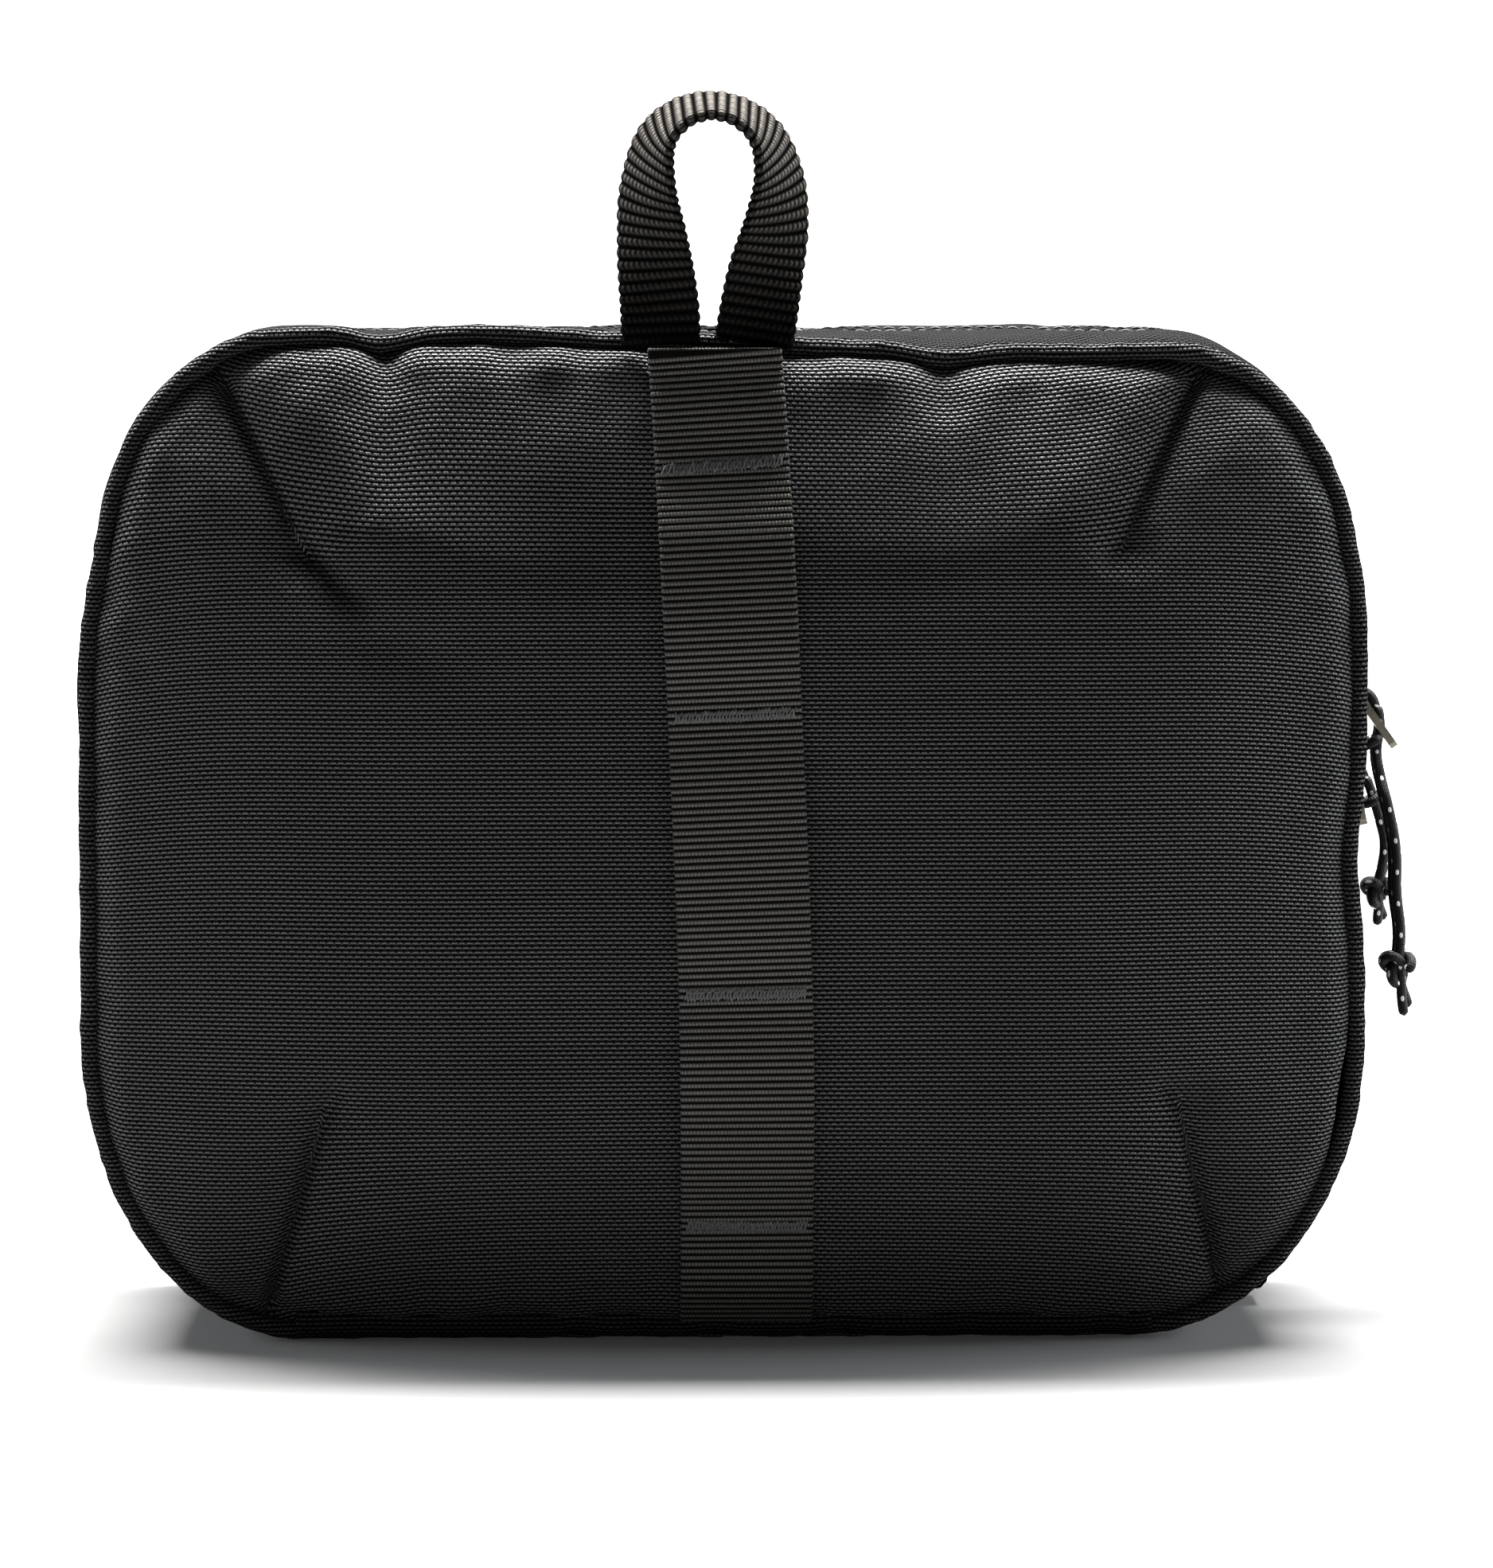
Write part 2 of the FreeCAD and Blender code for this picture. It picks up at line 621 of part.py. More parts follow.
def pull_cord(which):
    """The doubled cord of a pull, as one plain tube."""
    points = [cord_point(which, out, down) for out, down in CORD_ROUTES[which]]
    path = rounded_path(points, arc_radii(points))
    return tube(path, points[0], points[1] - points[0], CORD_TUBE_RADIUS)


def pull_knot(which):
    return Part.makeSphere(KNOT_RADIUS, cord_point(which, *KNOT_PLACES[which]))


def pocket_slider():
    """The slider of the rear pocket's zipper, which lies along X and faces the front of the bag."""
    made = slider_at_origin(POCKET_SLIDER_LENGTH, POCKET_SLIDER_HALF_WIDTH, POCKET_COIL_ROOM, POCKET_LIP_DROP)
    made.rotate(Vector(0, 0, 0), Z_AXIS, -90)
    made.rotate(Vector(0, 0, 0), Y_AXIS, 90)
    made.translate(Vector(POCKET_SLIDER_X, MESH_Y - POCKET_COIL_FRONT, POCKET_ZIP_Z))
    return made


def pocket_pull_tab():
    """The pocket slider's pull, which lies along the zipper towards the middle of the bag."""
    made = flat_pull(POCKET_PULL_LENGTH, POCKET_PULL_HALF, POCKET_PULL_HALF, PULL_RING_LENGTH)
    made.rotate(Vector(0, 0, 0), Y_AXIS, 90)
    made.rotate(Vector(0, 0, 0), X_AXIS, 90)
    made.translate(Vector(POCKET_SLIDER_X, MESH_Y - POCKET_COIL_FRONT - pivot_rise(), POCKET_ZIP_Z))
    return made


# Hook


def hook_tab():
    """A folded webbing tab that hangs from the top of the front half and holds the swivel's bar."""
    half = HOOK_TAB_WIDTH / 2
    depth = HOOK_TAB_HALF_DEPTH
    foot, top = HOOK_BAR_Z - HOOK_TAB_DROP, HEIGHT - SHELL - LINING
    tab = box(-half, half, HOOK_Y - depth, HOOK_Y + depth, foot, top)
    eye = Part.makeCylinder(
        HOOK_BAR_RADIUS + HOOK_EYE_CLEARANCE, WIDTH, Vector(-SIDE_X, HOOK_Y, HOOK_BAR_Z), X_AXIS
    )
    return tab.cut(eye)


def hook_swivel():
    """A frame whose bar runs through the tab, over a barrel that the hook's stem turns in."""
    half = HOOK_TAB_WIDTH / 2 + SWIVEL_OVERHANG
    bar = Part.makeCylinder(HOOK_BAR_RADIUS, 2 * half, Vector(-half, HOOK_Y, HOOK_BAR_Z), X_AXIS)
    bottom = HOOK_BAR_Z - SWIVEL_DROP
    inner = HOOK_TAB_WIDTH / 2 + SWIVEL_ARM_SIDE_GAP
    depth = SWIVEL_ARM_HALF_DEPTH
    arms = []
    for side in (-1, 1):
        low, high = sorted((side * inner, side * (inner + SWIVEL_ARM_WIDTH)))
        arms.append(box(low, high, HOOK_Y - depth, HOOK_Y + depth, bottom, HOOK_BAR_Z))
    depth = SWIVEL_BEAM_HALF_DEPTH
    beam = box(-half, half, HOOK_Y - depth, HOOK_Y + depth, bottom, bottom + SWIVEL_BEAM_HEIGHT)
    barrel_foot = bottom + SWIVEL_BEAM_HEIGHT - BARREL_LENGTH
    barrel = Part.makeCylinder(BARREL_RADIUS, BARREL_LENGTH, Vector(0, HOOK_Y, barrel_foot), Z_AXIS)
    bore_foot = barrel_foot - BARREL_LENGTH
    bore = Part.makeCylinder(HOOK_BORE_RADIUS, 3 * BARREL_LENGTH, Vector(0, HOOK_Y, bore_foot), Z_AXIS)
    return bar.multiFuse([*arms, beam, barrel]).cut(bore).removeSplitter()


def hook():
    """A plastic hook on a headed stem that turns in the swivel's barrel."""
    barrel_top = HOOK_BAR_Z - SWIVEL_DROP + SWIVEL_BEAM_HEIGHT
    head_z = barrel_top + HOOK_END_PLAY
    collar_z = barrel_top - BARREL_LENGTH - HOOK_END_PLAY - HOOK_HEAD_HEIGHT
    head, collar = (
        Part.makeCylinder(HOOK_HEAD_RADIUS, HOOK_HEAD_HEIGHT, Vector(0, HOOK_Y, z), Z_AXIS)
        for z in (head_z, collar_z)
    )
    stem_length = head_z + MARGIN - collar_z
    stem = Part.makeCylinder(HOOK_STEM_RADIUS, stem_length, Vector(0, HOOK_Y, collar_z), Z_AXIS)
    top = barrel_top - BARREL_LENGTH - HOOK_NECK_START
    r = HOOK_CROOK_RADIUS
    bottom = top - HOOK_CROOK_DROP
    places = [
        (0, top), (0, top - HOOK_NECK_LENGTH), (r, top - HOOK_SHOULDER_DROP), (r, bottom), (-r, bottom),
        (-r, top - HOOK_TIP_DROP),
    ]
    points = [Vector(x, HOOK_Y, z) for x, z in places]
    path = rounded_path(points, [*HOOK_NECK_RADII, r, r])
    rod = tube(path, points[0], points[1] - points[0], HOOK_ROD_RADIUS)
    tip = Part.makeSphere(HOOK_ROD_RADIUS, points[-1])
    return stem.multiFuse([head, collar, rod, tip]).removeSplitter()


NODES = {
    "front_panel": front_panel,
    "front_padding": front_padding,
    "front_lining": front_lining,
    "front_piping": lambda: piping(FRONT_SEAM_Y),
    "front_seam_binding": front_seam_binding,
    "front_gusset": front_gusset,
    "front_gusset_lining": front_gusset_lining,
    "front_zip_tape": front_zip_tape,
    "front_zip_coil": front_zip_coil,
    "base_panel_front": base_panel_front,
    "zip_end_tab_left": lambda: zip_end_tab(-1),
    "zip_end_tab_right": lambda: zip_end_tab(1),
    "daisy_webbing": daisy_webbing,
    "daisy_bar_tacks": daisy_bar_tacks,
    "hang_loop_anchor": hang_loop_anchor,
    "hang_loop": hang_loop,
    "front_mesh_pocket": front_mesh_pocket,
    "front_pocket_elastic": front_pocket_elastic,
    "rear_panel": rear_panel,
    "rear_padding": rear_padding,
    "rear_lining": rear_lining,
    "rear_piping": lambda: piping(REAR_SEAM_Y),
    "rear_seam_binding": rear_seam_binding,
    "rear_gusset": rear_gusset,
    "rear_gusset_lining": rear_gusset_lining,
    "rear_zip_tape": rear_zip_tape,
    "rear_zip_coil": rear_zip_coil,
    "base_panel_rear": base_panel_rear,
    "rear_mesh_lower": lambda: rear_mesh(-1),
    "rear_mesh_upper": lambda: rear_mesh(1),
    "pocket_tape_lower": lambda: pocket_tape(-1),
    "pocket_tape_upper": lambda: pocket_tape(1),
    "pocket_coil_lower": lambda: pocket_coil(-1),
    "pocket_coil_upper": lambda: pocket_coil(1),
    "slider_upper": lambda: slider("upper"),
    "slider_lower": lambda: slider("lower"),
    "pull_tab_upper": lambda: pull_tab("upper"),
    "pull_tab_lower": lambda: pull_tab("lower"),
    "pull_cord_upper": lambda: pull_cord("upper"),
    "pull_cord_lower": lambda: pull_cord("lower"),
    "pull_knot_upper": lambda: pull_knot("upper"),
    "pull_knot_lower": lambda: pull_knot("lower"),
    "pocket_slider": pocket_slider,
    "pocket_pull_tab": pocket_pull_tab,
    "hook_tab": hook_tab,
    "hook_swivel": hook_swivel,
    "hook": hook,
}


def main():
    os.makedirs("parts", exist_ok=True)
    for name, build in NODES.items():
        shape = build()
        solids = shape.Solids
        sound = bool(solids) and all(s.isValid() and s.Volume > 0 for s in solids)
        print(f"{name:22s} solids {len(solids)} volume {shape.Volume:10.1f} {'ok' if sound else 'BAD'}")
        whole = solids[0] if len(solids) == 1 else Part.makeCompound(solids)
        whole.exportStep(f"parts/{name}.step")


main()
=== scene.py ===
"""Looks of the hanging toiletry bag: its fabrics, webbing, zipper, cords and pockets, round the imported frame.

Shapes are worked out in millimetres along the frame's own axes, X across, Y to the back and Z up, and every
mesh is made in metres. Lengths below are in millimetres unless a name or a comment says otherwise.
"""

import bpy
import bmesh
import json
import math
import numpy as np
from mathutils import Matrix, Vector
from mathutils.bvhtree import BVHTree

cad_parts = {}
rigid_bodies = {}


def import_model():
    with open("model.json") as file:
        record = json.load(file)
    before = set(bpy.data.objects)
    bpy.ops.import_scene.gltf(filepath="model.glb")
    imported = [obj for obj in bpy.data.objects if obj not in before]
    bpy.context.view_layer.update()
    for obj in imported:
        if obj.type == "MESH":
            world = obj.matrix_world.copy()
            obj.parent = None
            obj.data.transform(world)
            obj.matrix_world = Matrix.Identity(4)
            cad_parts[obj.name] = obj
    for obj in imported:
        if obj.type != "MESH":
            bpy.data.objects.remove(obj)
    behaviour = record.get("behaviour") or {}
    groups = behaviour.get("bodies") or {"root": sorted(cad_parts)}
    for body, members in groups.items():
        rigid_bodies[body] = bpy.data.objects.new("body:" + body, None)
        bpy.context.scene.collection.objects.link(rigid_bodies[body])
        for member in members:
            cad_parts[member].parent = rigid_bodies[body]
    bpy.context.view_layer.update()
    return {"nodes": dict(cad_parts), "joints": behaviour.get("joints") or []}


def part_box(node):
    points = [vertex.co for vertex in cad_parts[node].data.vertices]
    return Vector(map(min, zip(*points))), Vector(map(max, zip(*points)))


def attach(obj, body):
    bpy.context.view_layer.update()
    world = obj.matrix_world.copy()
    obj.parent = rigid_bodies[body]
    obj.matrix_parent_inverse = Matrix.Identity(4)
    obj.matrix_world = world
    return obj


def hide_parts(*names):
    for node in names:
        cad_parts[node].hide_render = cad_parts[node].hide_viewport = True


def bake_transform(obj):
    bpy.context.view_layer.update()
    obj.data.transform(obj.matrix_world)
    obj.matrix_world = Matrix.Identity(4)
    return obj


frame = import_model()

MM = 0.001
TAU = 2 * math.pi
UV_NAME = "weave"


def box_mm(node):
    low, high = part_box(node)
    return np.array(low) / MM, np.array(high) / MM


def joint_mm(name):
    found = next(j for j in frame["joints"] if j["name"] == name)
    return np.array(found["pos_m"]) / MM


# Places of the frame
PIPING_LOW, PIPING_HIGH = box_mm("front_piping")
REAR_PIPING_LOW, REAR_PIPING_HIGH = box_mm("rear_piping")
GUSSET_LOW, GUSSET_HIGH = box_mm("front_gusset")
WIDTH = GUSSET_HIGH[0] - GUSSET_LOW[0]
HEIGHT = PIPING_LOW[2] + PIPING_HIGH[2]
SEAM_Y = (PIPING_LOW[1] + PIPING_HIGH[1]) / 2
REAR_SEAM_Y = (REAR_PIPING_LOW[1] + REAR_PIPING_HIGH[1]) / 2
FACE_Y = box_mm("front_panel")[0][1]
REAR_FACE_Y = box_mm("rear_panel")[1][1]
ZIP_Y = joint_mm("half_hinge")[1]
SLOT_FRONT_Y = GUSSET_HIGH[1]
SLOT_REAR_Y = box_mm("rear_gusset")[0][1]
BASE_HALF = box_mm("base_panel_front")[1][0]
BASE_ENDS = (-BASE_HALF - 1.0, BASE_HALF + 2.5)
LOOP_Y = joint_mm("loop_fold")[1]
POCKET_ZIP_Z = box_mm("pocket_slider")[0][2] / 2 + box_mm("pocket_slider")[1][2] / 2

# Quarter ellipses at the outline's corners, from lower right, anticlockwise: (reach along X, reach along Z)
CORNERS = ((44.0, 56.0), (38.0, 52.0), (38.0, 54.0), (41.0, 58.0))

# Hollows in the outline's sides: (side, z, depth, breadth)
SIDE_HOLLOWS = ((-1, 147.0, 1.7, 13.0), (1, 90.0, 1.6, 12.0), (1, 150.0, 0.7, 12.0))

# Rises and, negative, dips of the front seam along the top: (x, rise, breadth)
SEAM_RISES = (
    (-55.0, 3.4, 60.0), (-63.0, -1.9, 6.5), (-22.0, -0.4, 12.0), (41.0, -1.5, 8.0), (60.0, -0.4, 20.0),
)
SEAM_SWELL = 1.0085
SEAM_REACH = 13.0

# Corner darts: (corner end x, z), (tip x, z), and how far the weave's rows turn towards the corner beside
# them. Each is a narrow groove in a wide valley, and ends in a dimple.
DARTS = (
    ((-97.0, 187.0), (-77.8, 149.0), 8.0),
    ((89.5, 186.0), (73.6, 150.4), 10.0),
    ((-86.0, 4.0), (-75.0, 44.9), -7.0),
    ((94.8, 4.0), (85.0, 46.0), -8.0),
)
DART_DEPTH = 1.9
DART_HALF_WIDTH = 1.35
VALLEY_DEPTH = 2.9
VALLEY_HALF_WIDTH = 9.0
DIMPLE_DEPTH = 1.7
DIMPLE_RADIUS = 5.0
ROW_TURN_REACH = 17.0

# Folds that run on from the darts' tips: (start x, z), (end x, z), depth, half width
TIP_FOLDS = (
    ((-78.5, 150.5), (-66.5, 138.6), 2.6, 2.6),
    ((-72.0, 150.0), (-64.0, 141.0), 1.4, 4.5),
    ((-66.0, 133.5), (-48.0, 128.0), 0.9, 5.0),
    ((74.5, 151.0), (69.5, 146.5), 1.0, 1.8),
    ((-75.2, 44.0), (-71.0, 51.0), 0.8, 1.6),
    ((85.2, 45.0), (80.5, 50.5), 0.9, 1.6),
    ((-116.5, 131.0), (-104.0, 127.5), 0.9, 3.0),
    ((-116.5, 91.0), (-105.0, 91.0), 0.6, 3.0),
    ((-62.5, 187.0), (-60.0, 176.0), 0.9, 3.5),
    ((41.0, 186.0), (40.0, 175.0), 0.9, 4.0),
    ((-58.0, 2.0), (-55.0, 14.0), 0.8, 4.0),
    ((-22.0, 2.0), (-20.0, 12.0), 0.6, 5.0),
    ((52.0, 2.0), (50.0, 13.0), 0.7, 4.5),
    ((112.0, 70.0), (101.0, 72.0), 0.5, 3.0),
)

# Panels: distances in from the outline, the crown's rise, and the thickness and grid of each layer
RIM_INSET = 1.95
RIM_RADIUS = 1.75
RIM_SIDES = 20
PANEL_INSET = 2.7
PANEL_RISE_LENGTH = 72.0
REAR_RISE_LENGTH = 34.0
LIP_REACH = 5.0
LIP_SHARE = 0.2
LEAN_BLUR = 14.0
SHELL = 0.9
PADDING = 2.0
LINING = 0.5
LAYER_GAP = 0.05
CLOTH_GRID = (249, 197)
FOAM_GRID = (81, 63)
LINING_GRID = (111, 87)
LAYER_SPREAD = 3.0

# Each half's zipper tape and side lining: its first and last y
TAPE_SPANS = (("front", (4.0, 14.9)), ("rear", (19.1, 30.0)))
SIDE_LINING_SPANS = (("front", (-26.2, 4.6)), ("rear", (29.4, 33.0)))

# Webbing up the front: (x, z) of its middle line
WEBBING_LINE = (
    (-1.9, 186.3), (-1.6, 182.0), (-0.6, 166.0), (1.6, 119.5), (3.6, 67.5), (4.0, 23.0), (4.0, 4.0),
)
WEBBING_WIDTH = 25.0
WEBBING_THICKNESS = 1.3
WEBBING_RIB = 1.29
WEBBING_YARN = 0.62
WEBBING_PUFF = 1.4
TACK_HEIGHTS = (23.0, 67.5, 119.5, 165.5)
TACK_TURNS = 36
TACK_THREADS = ((0, 0.19, 0.0), (1, 0.16, 0.12))

# Hanging loop: (x, z) of its middle line from the left foot to the right, and how far it turns edge-on
LOOP_LINE = (
    (-11.8, 187.4), (-12.1, 195.0), (-13.4, 207.0), (-14.2, 216.0), (-12.9, 225.0), (-8.6, 230.0),
    (-2.6, 231.8), (3.6, 230.2), (8.2, 225.6), (10.2, 218.0), (9.6, 209.5), (7.5, 200.0), (5.4, 187.4),
)
LOOP_WIDTH = 15.0
LOOP_THICKNESS = 2.5
LOOP_RIB = 2.0
LOOP_YARN = 1.05
LOOP_TWIST = 76.0
LOOP_RIB_LEAN = 0.3

# Pull cords, as in the CAD model: (outward from the pivot, down from the pivot), in millimetres
CORD_ROUTES = {
    "upper": (
        (5.4, 4.3), (6.3, 8.0), (5.0, 12.4), (5.6, 18.0), (7.3, 25.0),
        (8.5, 32.5), (8.2, 40.0), (9.4, 47.4), (8.6, 54.6), (10.8, 63.6),
    ),
    "lower": (
        (3.7, 5.4), (5.2, 9.4), (6.6, 13.6), (8.0, 18.4), (7.4, 23.4), (6.0, 28.2), (7.4, 34.9),
    ),
}
HITCH_PATHS = {
    "upper": ((4.3, -2.6), (2.6, -1.6), (0.6, -2.4), (4.2, -11.4)),
    "lower": ((2.6, -4.0), (1.4, -3.4), (0.4, -4.6), (5.0, -10.0)),
}
KNOT_SIZE = {"upper": 2.6, "lower": 2.15}
KNOT_PLACES = {"upper": (8.8, 54.2), "lower": (6.2, 28.0)}
CORD_SIDE = {"upper": -1, "lower": 1}
CORD_SIDE_SHIFT = 1.7
CORD_TILT = 6.0
CORD_TILT_START = 5.4
STRAND_RADIUS = 0.98
STRAND_GAP = 0.96
BRAID_PITCH = 0.75
FLECK_PITCH = 6.1
FLECK_SIZE = (0.52, 0.34)
PLATE_CLEARANCE = 4.3


# Mesh helpers


class Builder:
    """Gathers patches of quads with UVs in millimetres, and makes one mesh of them."""

    def __init__(self):
        self.points = []
        self.faces = []
        self.uvs = []
        self.count = 0

    def add_points(self, points):
        points = np.asarray(points, float).reshape(-1, 3)
        start = self.count
        self.points.append(points)
        self.count += len(points)
        return np.arange(start, self.count)

    def add_quads(self, index, uv, flip=False):
        """Quads over a grid of point numbers, with a grid of UVs of the same shape."""
        corners = [(slice(None, -1), slice(None, -1)), (slice(1, None), slice(None, -1)),
                   (slice(1, None), slice(1, None)), (slice(None, -1), slice(1, None))]
        if flip:
            corners.reverse()
        quads = np.stack([index[c] for c in corners], axis=-1).reshape(-1, 4)
        where = np.stack([uv[c] for c in corners], axis=-2).reshape(-1, 4, 2)
        self.faces.extend(quads.tolist())
        self.uvs.append(where.reshape(-1, 2))

    def add_polygon(self, index, uv):
        self.faces.append(list(index))
        self.uvs.append(np.asarray(uv, float).reshape(-1, 2))

    def add_tube(self, rings, uv_start=0.0, caps=True):
        """A tube from rings of points, rings[i][j] for ring i and side j, closed round each ring."""
        rings = np.asarray(rings, float)
        count, sides = rings.shape[:2]
        index = self.add_points(rings).reshape(count, sides)
        wrapped = np.concatenate([index, index[:, :1]], axis=1)
        middle = rings.mean(axis=1)
        along = uv_start + np.concatenate([[0], np.cumsum(np.linalg.norm(np.diff(middle, axis=0), axis=1))])
        looped = np.concatenate([rings, rings[:, :1]], axis=1)
        round_ = np.concatenate(
            [np.zeros((count, 1)), np.cumsum(np.linalg.norm(np.diff(looped, axis=1), axis=2), axis=1)], axis=1
        )
        uv = np.stack([np.broadcast_to(along[:, None], round_.shape), round_], axis=-1)
        self.add_quads(wrapped, uv)
        if caps:
            for ring, turn in ((0, 1), (count - 1, -1)):
                flat = index[ring][::turn]
                self.add_polygon(flat, np.zeros((sides, 2)) + (along[ring], 0))

    def add_hoop(self, points, uv):
        """A tube that closes on itself both ways. Its UVs have one more row and column than its points."""
        index = self.add_points(points).reshape(points.shape[:2])
        index = np.concatenate([index, index[:1]])
        self.add_quads(np.concatenate([index, index[:, :1]], axis=1), uv)

    def add_shell(self, outer, inner, uv):
        """A closed sheet between two grids of points."""
        a = self.add_points(outer).reshape(outer.shape[:2])
        b = self.add_points(inner).reshape(inner.shape[:2])
        self.add_quads(a, uv)
        self.add_quads(b, uv, flip=True)
        for edge, flip in (((slice(None), 0), True), ((slice(None), -1), False), ((0, slice(None)), False),
                           ((-1, slice(None)), True)):
            self.add_quads(np.stack([a[edge], b[edge]], axis=1), np.stack([uv[edge], uv[edge]], axis=1), flip)

    def build(self, name, material, smooth=True):
        mesh = bpy.data.meshes.new(name)
        points = np.concatenate(self.points) * MM
        mesh.from_pydata(points.tolist(), [], self.faces)
        layer = mesh.uv_layers.new(name=UV_NAME)
        layer.data.foreach_set("uv", np.concatenate(self.uvs).astype(np.float32).ravel())
        work = bmesh.new()
        work.from_mesh(mesh)
        bmesh.ops.recalc_face_normals(work, faces=work.faces)
        work.to_mesh(mesh)
        work.free()
        mesh.materials.append(material)
        mesh.polygons.foreach_set("use_smooth", [smooth] * len(mesh.polygons))
        piece = bpy.data.objects.new(name, mesh)
        bpy.context.scene.collection.objects.link(piece)
        return piece


def finish_piece(piece, body, slot, *nodes):
    """Rides a piece on its body and hides the CAD nodes that it stands for. Its slot is not used."""
    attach(piece, body)
    if nodes:
        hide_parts(*nodes)
    return piece


def smooth_step(value, low, high):
    t = np.clip((np.asarray(value, float) - low) / (high - low), 0, 1)
    return t * t * (3 - 2 * t)


def waves(u, v, length, seed, count=7):
    """A smooth random height of about unit size, whose bumps are about that length apart."""
    random = np.random.default_rng(seed)
    total = 0
    for _ in range(count):
        angle, phase = random.uniform(0, TAU, 2)
        k = TAU / (length * random.uniform(0.65, 1.6))
        total = total + np.sin(k * (u * math.cos(angle) + v * math.sin(angle)) + phase)
    return total / math.sqrt(count)


def smooth_curve(points, spacing):
    """Points about that far apart along a smooth curve through the given ones."""
    points = np.asarray(points, float)
    padded = np.concatenate([[2 * points[0] - points[1]], points, [2 * points[-1] - points[-2]]])
    out = []
    for a, b, c, d in zip(padded, padded[1:], padded[2:], padded[3:]):
        steps = max(2, int(np.linalg.norm(c - b) / 0.5))
        for t in np.arange(steps) / steps:
            out.append(0.5 * (2 * b + (c - a) * t + (2 * a - 5 * b + 4 * c - d) * t**2
                              + (3 * b - a - 3 * c + d) * t**3))
    out.append(points[-1])
    return resample(np.array(out), spacing)


def resample(line, spacing):
    along = np.concatenate([[0], np.cumsum(np.linalg.norm(np.diff(line, axis=0), axis=1))])
    count = max(3, int(round(along[-1] / spacing)) + 1)
    wanted = np.linspace(0, along[-1], count)
    return np.stack([np.interp(wanted, along, line[:, i]) for i in range(line.shape[1])], axis=1)


def lengths_along(line):
    return np.concatenate([[0], np.cumsum(np.linalg.norm(np.diff(line, axis=0), axis=1))])


def unit(vectors):
    vectors = np.asarray(vectors, float)
    return vectors / np.maximum(np.linalg.norm(vectors, axis=-1, keepdims=True), 1e-9)


def frames_along(line, first=(0, 1, 0)):
    """Tangents and two steady cross directions along a line."""
    tangents = unit(np.gradient(line, axis=0))
    side = np.array(first, float)
    sides = []
    for tangent in tangents:
        side = unit(side - tangent * np.dot(side, tangent))
        sides.append(side)
    sides = np.array(sides)
    return tangents, sides, np.cross(tangents, sides)


def tube_rings(line, radius, sides=10, first=(0, 1, 0), rounded_ends=True):
    """Rings of points round a line, whose ends are rounded off."""
    _, a, b = frames_along(line, first)
    angles = np.arange(sides) / sides * TAU
    radius = np.broadcast_to(radius, (len(line),)).copy()
    if rounded_ends:
        along = lengths_along(line)
        for reach in (along, along[-1] - along):
            near = np.clip(reach / np.maximum(radius, 1e-6), 0.02, 1)
            radius = radius * np.sqrt(1 - (1 - near) ** 2)
    ring = a[:, None] * np.cos(angles)[None, :, None] + b[:, None] * np.sin(angles)[None, :, None]
    return line[:, None] + ring * radius[:, None, None]


# The outline


class Outline:
    """The bag's outline seen from the front, walked anticlockwise from the middle of the base."""

    def __init__(self):
        half = WIDTH / 2
        rows = [(0, 0, 0, -1)]
        sides = ((1, 0, -90), (1, HEIGHT, 0), (-1, HEIGHT, 90), (-1, 0, 180))
        for (side, edge, start), (wide, tall) in zip(sides, CORNERS):
            x, z = side * (half - wide), tall if edge == 0 else edge - tall
            for turn in np.radians(np.linspace(start, start + 90, 60)):
                normal = unit((math.cos(turn) / wide, math.sin(turn) / tall))
                rows.append((x + wide * math.cos(turn), z + tall * math.sin(turn), *normal))
        rows.append((0, 0, 0, -1))
        self.rows = np.array(rows)
        self.along = lengths_along(self.rows[:, :2])
        self.length = self.along[-1]

    def at(self, s, inset=0.0):
        """Places and outward normals, as (x, z), at distances s along the outline."""
        x, z, nx, nz = (np.interp(s, self.along, self.rows[:, i]) for i in range(4))
        size = np.hypot(nx, nz)
        nx, nz = nx / size, nz / size
        x, z = x - inset * nx, z - inset * nz
        for side, place, depth, breadth in SIDE_HOLLOWS:
            near = np.where(np.sign(x) == side, smooth_step(np.abs(x), WIDTH / 4, WIDTH / 2.2), 0)
            x = x - side * depth * near * np.exp(-(((z - place) / breadth) ** 2))
        return np.stack([x, z], axis=-1), np.stack([nx, nz], axis=-1)

    def s_at_base(self, x):
        """Distance along the outline to the place on its lower part with that x."""
        s = np.linspace(0, self.length, 4000)
        places, _ = self.at(s)
        low = places[:, 1] < HEIGHT / 3
        return s[low][np.argmin(np.abs(places[low, 0] - x))]


OUTLINE = Outline()
S_RIGHT = OUTLINE.s_at_base(BASE_HALF - 4)
S_LEFT = OUTLINE.s_at_base(4 - BASE_HALF)


def settle(points):
    """Moves the front seam's top edge up where the full bag lifts it, and down where it dips."""
    points = np.array(points, float)
    x, y, z = points[..., 0], points[..., 1], points[..., 2]
    rise = sum(height * np.exp(-(((x - place) / breadth) ** 2)) for place, height, breadth in SEAM_RISES)
    near = np.where(y < SEAM_Y, 1.0, np.exp(-(((y - SEAM_Y) / SEAM_REACH) ** 2)))
    points[..., 2] = z + rise * near * smooth_step(z, HEIGHT - 42, HEIGHT - 4)
    points[..., 0] = x * (1 + (SEAM_SWELL - 1) * near)
    return points


def band(s, profile, lift=None):
    """Points of a band along the outline. profile holds (y, outward) pairs; lift adds an outward distance."""
    places, normals = OUTLINE.at(s)
    y = np.array([p[0] for p in profile])
    out = np.array([p[1] for p in profile])[None, :] + (0 if lift is None else lift)
    points = np.empty((len(s), len(y), 3))
    points[..., 0] = places[:, None, 0] + normals[:, None, 0] * out
    points[..., 1] = y[None, :]
    points[..., 2] = places[:, None, 1] + normals[:, None, 1] * out
    return points


